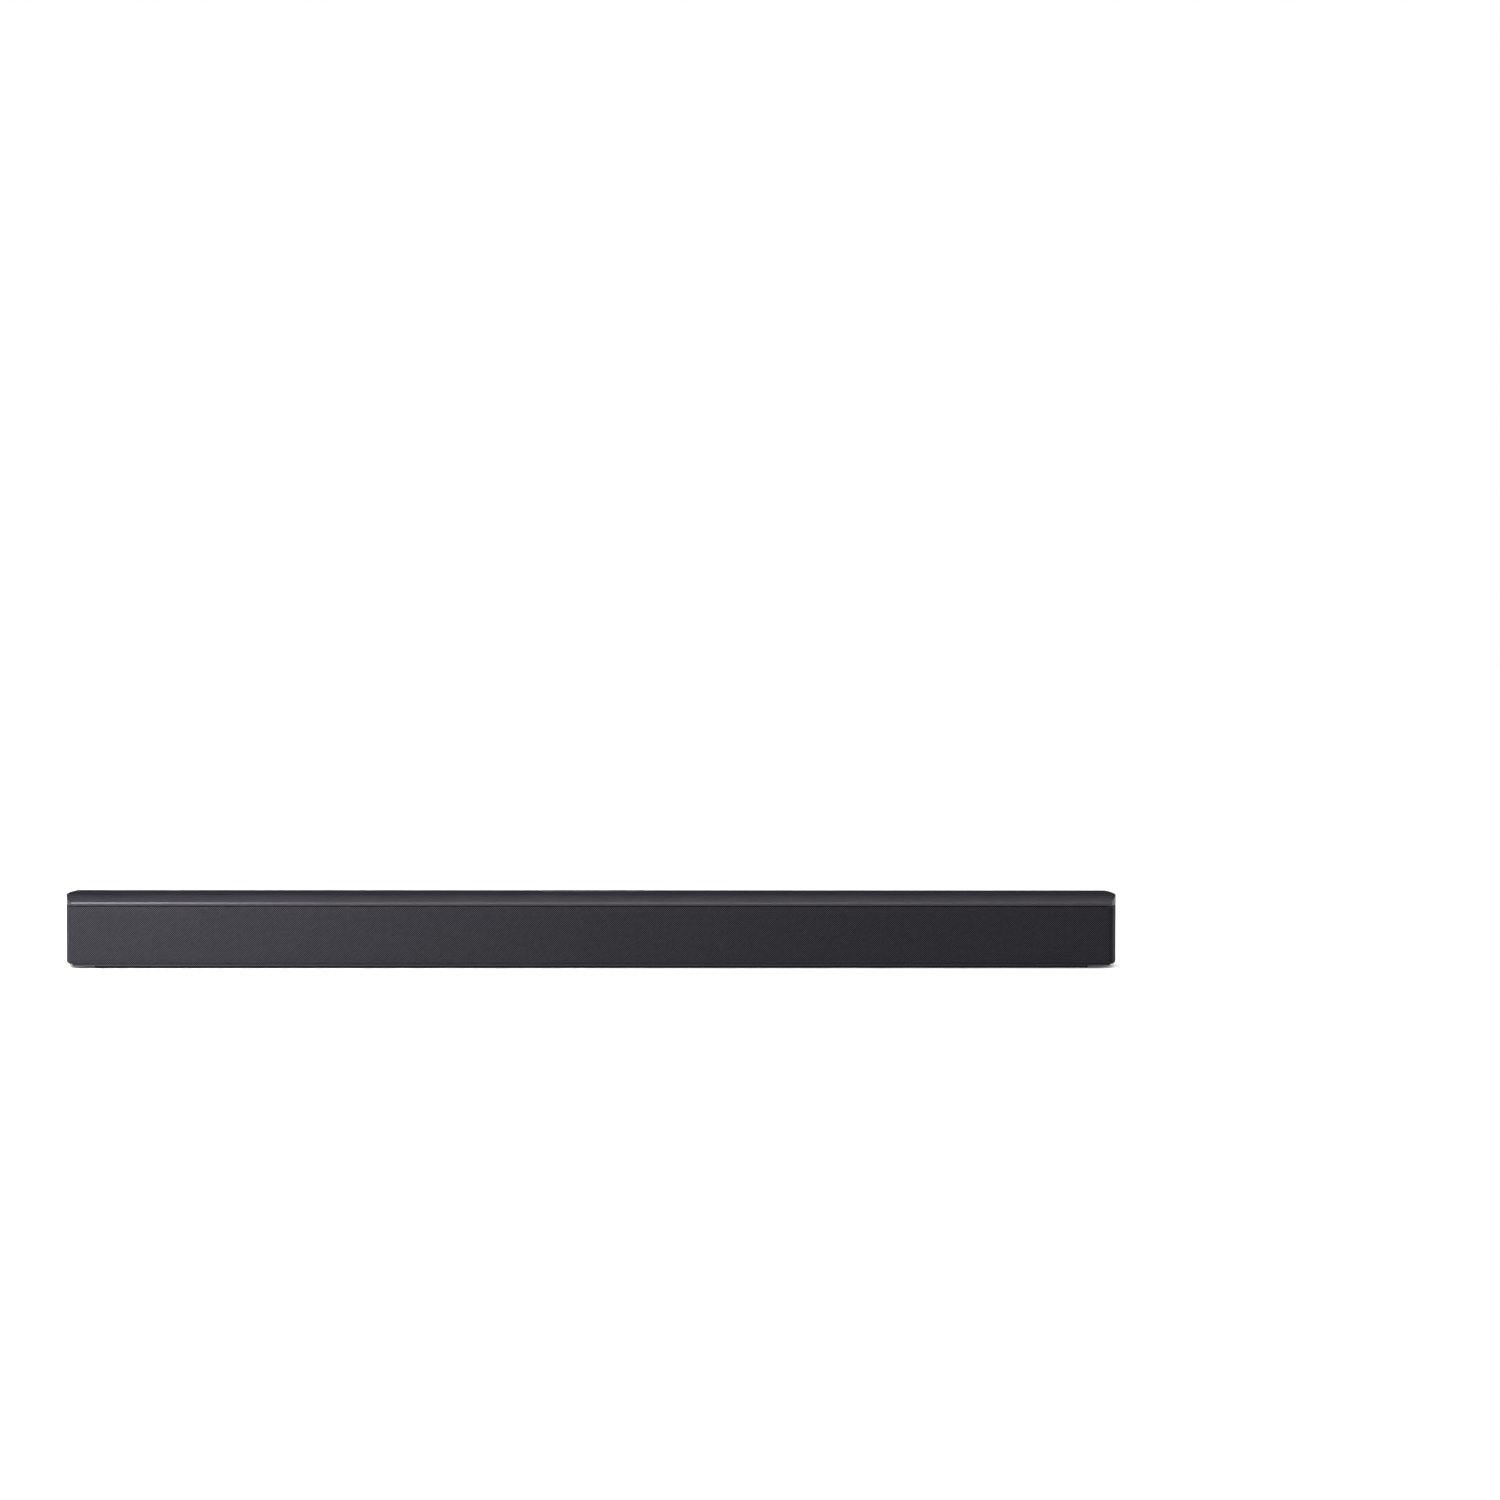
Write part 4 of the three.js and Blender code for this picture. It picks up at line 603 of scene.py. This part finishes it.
def ring_mark(centre, top, mesh_data):
    """The printed ring of the power key, open at its top."""
    steps = 28
    outer = arc((centre.x, centre.y), RING_RADIUS, RING_START, RING_END, steps)
    inner = arc((centre.x, centre.y), RING_RADIUS - MARK_LINE, RING_START, RING_END, steps)
    low, high = top - MARK_SUNK, top + MARK_PROUD
    rings = [[(ox, oy, low), (ox, oy, high), (ix, iy, high), (ix, iy, low)]
             for (ox, oy), (ix, iy) in zip(outer, inner)]
    loft(rings, mesh_data)


def key_marks():
    """Generic signs: three dots for source, minus, plus, and the broken ring of a power key."""
    for name in KEY_NAMES:
        low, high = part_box(name + "_button")
        centre, top = (low + high) / 2, high.z
        marks = bmesh.new()
        if name == "source":
            for step in (-1, 0, 1):
                bar_mark(centre + Vector((step * DOT_PITCH, 0, 0)), DOT_SIZE, DOT_SIZE, top, marks)
        elif name == "power":
            ring_mark(centre, top, marks)
            bar_mark(centre + Vector((0, STROKE_Y, 0)), MARK_LINE, STROKE_LENGTH, top, marks)
        else:
            bar_mark(centre, SIGN_LENGTH, MARK_LINE, top, marks)
            if name == "volume_up":
                for side in (-1, 1):
                    offset = Vector((0, side * (SIGN_LENGTH / 4 + MARK_LINE / 4), 0))
                    bar_mark(centre + offset, MARK_LINE, SIGN_LENGTH / 2 - MARK_LINE / 2, top, marks)
        new_piece(name + "_mark", marks, MARK, body=name + "_key")


def keys():
    for name in KEY_NAMES:
        eased_copy(name + "_button", KEY, 0.3 * MM, 3, body=name + "_key")
    eased_copy("control_strip", DECK, 0.2 * MM, 3)
    key_marks()


# ---- Sockets -------------------------------------------------------------------------------

CONTACT_LENGTH = 6 * MM
CONTACT_SET_BACK = 1.4 * MM
CONTACT_THICKNESS = 0.06 * MM  # above and below the height given for a row


def contacts(socket, count, pitch, faces):
    """Gold-plated strips let into a socket's tongue. Each face is a height above the socket's middle."""
    low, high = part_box(socket)
    centre = (low + high) / 2
    strips = bmesh.new()
    rear = high.y - CONTACT_SET_BACK
    half_width = 0.25 * pitch
    for height in faces:
        for i in range(count):
            x = centre.x + (i - (count - 1) / 2) * pitch
            z = centre.z + height
            block((x - half_width, rear - CONTACT_LENGTH, z - CONTACT_THICKNESS),
                  (x + half_width, rear, z + CONTACT_THICKNESS), strips)
    return new_piece(socket + "_contacts", strips, GOLD)


# ---- Stage ---------------------------------------------------------------------------------

CAMERA_DISTANCE = 3.5  # ahead of the bar's front face
CAMERA_HEIGHT = 0.316
CAMERA_LENS = 103.49
CAMERA_REACH = 50
CAMERA_PAN, CAMERA_TILT, CAMERA_ROLL = 2.077, 2.254, 0.169  # degrees: to the right, down, anticlockwise
COOL = (0.9, 0.87, 1.0)  # the tint of the light from behind, which gives the deck its violet cast
SURROUNDINGS = (0.01, 0.01, 0.0105)  # what the bar mirrors where there is no light or floor
FLOOR_REACH = 12
FLOOR_BOUNCE = 0.3  # the share of its brightness that the floor shows in reflections
FLOOR_LIGHT_SPREAD = 150  # degrees


def camera():
    data = bpy.data.cameras.new("camera")
    data.lens = CAMERA_LENS
    data.clip_end = CAMERA_REACH
    eye = bpy.data.objects.new("camera", data)
    turn = (Matrix.Rotation(math.radians(-CAMERA_PAN), 4, "Z")
            @ Matrix.Rotation(math.radians(90 - CAMERA_TILT), 4, "X")
            @ Matrix.Rotation(math.radians(CAMERA_ROLL), 4, "Z"))
    eye.matrix_world = Matrix.Translation((0, FRONT - CAMERA_DISTANCE, CAMERA_HEIGHT)) @ turn
    bpy.context.scene.collection.objects.link(eye)
    bpy.context.scene.camera = eye


def softbox(name, position, target, width, height, power, colour=(1, 1, 1)):
    data = bpy.data.lights.new(name, "AREA")
    data.shape, data.size, data.size_y, data.energy = "RECTANGLE", width, height, power
    data.color = colour
    light = bpy.data.objects.new(name, data)
    light.location = position
    light.rotation_euler = (Vector(target) - Vector(position)).to_track_quat("-Z", "Y").to_euler()
    bpy.context.scene.collection.objects.link(light)
    return light


def world():
    """White behind the object, and a dim even grey for light and reflections."""
    scene_world = bpy.data.worlds.new("studio")
    bpy.context.scene.world = scene_world
    scene_world.use_nodes = True
    tree = scene_world.node_tree
    background = tree.nodes["Background"]
    seen = add(tree, "ShaderNodeLightPath").outputs["Is Camera Ray"]
    tree.links.new(tinted(tree, seen, SURROUNDINGS, (1, 1, 1)), background.inputs["Color"])


def floor():
    """A plain white floor, mirrored in the bar at part of its brightness."""
    mesh_data = bmesh.new()
    bmesh.ops.create_grid(mesh_data, x_segments=4, y_segments=4, size=FLOOR_REACH)
    mesh = bpy.data.meshes.new("floor")
    mesh_data.to_mesh(mesh)
    mesh_data.free()
    ground = bpy.data.objects.new("floor", mesh)
    bpy.context.scene.collection.objects.link(ground)
    material, tree, shader = new_material("floor_paper")
    seen = add(tree, "ShaderNodeLightPath").outputs["Is Camera Ray"]
    paper = math_node(tree, "MULTIPLY", spread(tree, noise(tree, 0.4, 3), 0.86, 0.9),
                      spread(tree, seen, FLOOR_BOUNCE, 1, start=0, end=1))
    tree.links.new(tinted(tree, paper, (0, 0, 0), (1, 1, 1)), shader.inputs["Base Color"])
    shader.inputs["Roughness"].default_value = 0.9
    shader.inputs["Specular IOR Level"].default_value = 0.0
    mesh.materials.append(material)
    ground.visible_diffuse = False
    return ground


def floor_lights(ground):
    """Two wide even lights for the floor alone. The bar shades only one, so its shadow stays faint."""
    lit = bpy.data.collections.new("floor_only")
    lit.objects.link(ground)
    for name, energy, shaded in (("floor_even", 2.0, False), ("floor_contact", 1.8, True)):
        data = bpy.data.lights.new(name, "SUN")
        data.energy, data.angle = energy, math.radians(FLOOR_LIGHT_SPREAD)
        light = bpy.data.objects.new(name, data)
        bpy.context.scene.collection.objects.link(light)
        light.light_linking.receiver_collection = lit
        if not shaded:
            light.light_linking.blocker_collection = lit


def lights():
    """Long boxes above, behind and ahead of the bar, and small ones near its ends."""
    middle = (0, 0, DECK_TOP / 2)
    left_end = (-HALF_LENGTH, 0, DECK_TOP / 2)
    right_end = (HALF_LENGTH, 0, DECK_TOP / 2)
    softbox("over_back", (0, 0.75, 1.4), middle, 2.4, 0.4, 12, COOL)
    softbox("back", (0, 1.3, 1.05), middle, 2.8, 0.25, 0.45, COOL)
    softbox("rear_right", (1.6, 1.4, 0.5), middle, 0.6, 0.6, 5)
    softbox("front", (-0.2, -3.0, 1.5), middle, 2.0, 1.0, 35)
    softbox("left_ahead", (-0.55, -0.5, 0.38), left_end, 0.3, 0.3, 4.2)
    softbox("left_side", (-1.4, -0.9, 0.35), left_end, 0.3, 0.6, 6)
    softbox("right_side", (1.5, -0.5, 0.35), right_end, 0.4, 0.6, 2)


# ---- The object ----------------------------------------------------------------------------

camera()
world()
floor_lights(floor())
lights()
bpy.context.scene.view_settings.view_transform = "Standard"

deck()
grille_cloth()
keys()

SIDES = ("left", "centre", "right")
FINISHES = {
    "grille_frame": (HOUSING, "housing_plastic"),
    "front_baffle": (HOUSING, "housing_plastic"),
    "display_module": (LENS, "display_lens"),
    "main_board": (BOARD, "circuit_board"),
    "button_board": (BOARD, "circuit_board"),
    "heat_sink": (ALUMINIUM, "heat_sink_aluminium"),
    "wireless_module": (STEEL, "stamped_steel"),
    "button_board_lead": (LEAD, "lead_insulation"),
    "optical_shutter": (SOCKET, "socket_plastic"),
}
for side in SIDES:
    FINISHES[side + "_speaker_lead"] = (LEAD, "lead_insulation")
    FINISHES[side + "_driver_frame"] = (DRIVER_STEEL, "driver_steel")
    FINISHES[side + "_driver_magnet"] = (FERRITE, "magnet_ferrite")
    FINISHES[side + "_driver_spider"] = (SUSPENSION, "suspension_cloth")
    FINISHES[side + "_driver_voice_coil"] = (COPPER, "coil_copper")
    FINISHES[side + "_driver_cone"] = (CONE, "cone_polypropylene")
    FINISHES[side + "_driver_dust_cap"] = (CONE, "cone_polypropylene")
    FINISHES[side + "_driver_surround"] = (SURROUND, "surround_rubber")
for name in KEY_NAMES:
    FINISHES[name + "_switch"] = (SOCKET, "socket_plastic")
for node, (material, slot) in FINISHES.items():
    obj = frame["nodes"][node]
    for material_slot in obj.material_slots:
        material_slot.material = material

eased_copy("lower_chassis", LIP, 0.25 * MM, 3)
eased_copy("bottom_plate", BASE, 0.2 * MM)
eased_copy("rear_panel", HOUSING, 0.3 * MM)
eased_copy("connector_bay", HOUSING, 0.3 * MM)
for node in ("dc_inlet", "optical_socket"):
    eased_copy(node, SOCKET)
for node in ("hdmi_socket", "usb_socket"):
    eased_copy(node, STEEL)
contacts("hdmi_socket", 10, 1 * MM, (-0.3 * MM, 0.9 * MM))
contacts("usb_socket", 4, 2.5 * MM, (0.3 * MM,))
for side in ("left", "right"):
    eased_copy("wall_insert_" + side, BRASS)
    eased_copy("case_screw_" + side, STEEL)
    for end in ("front", "rear"):
        eased_copy(f"foot_{end}_{side}", FOOT, 0.3 * MM)
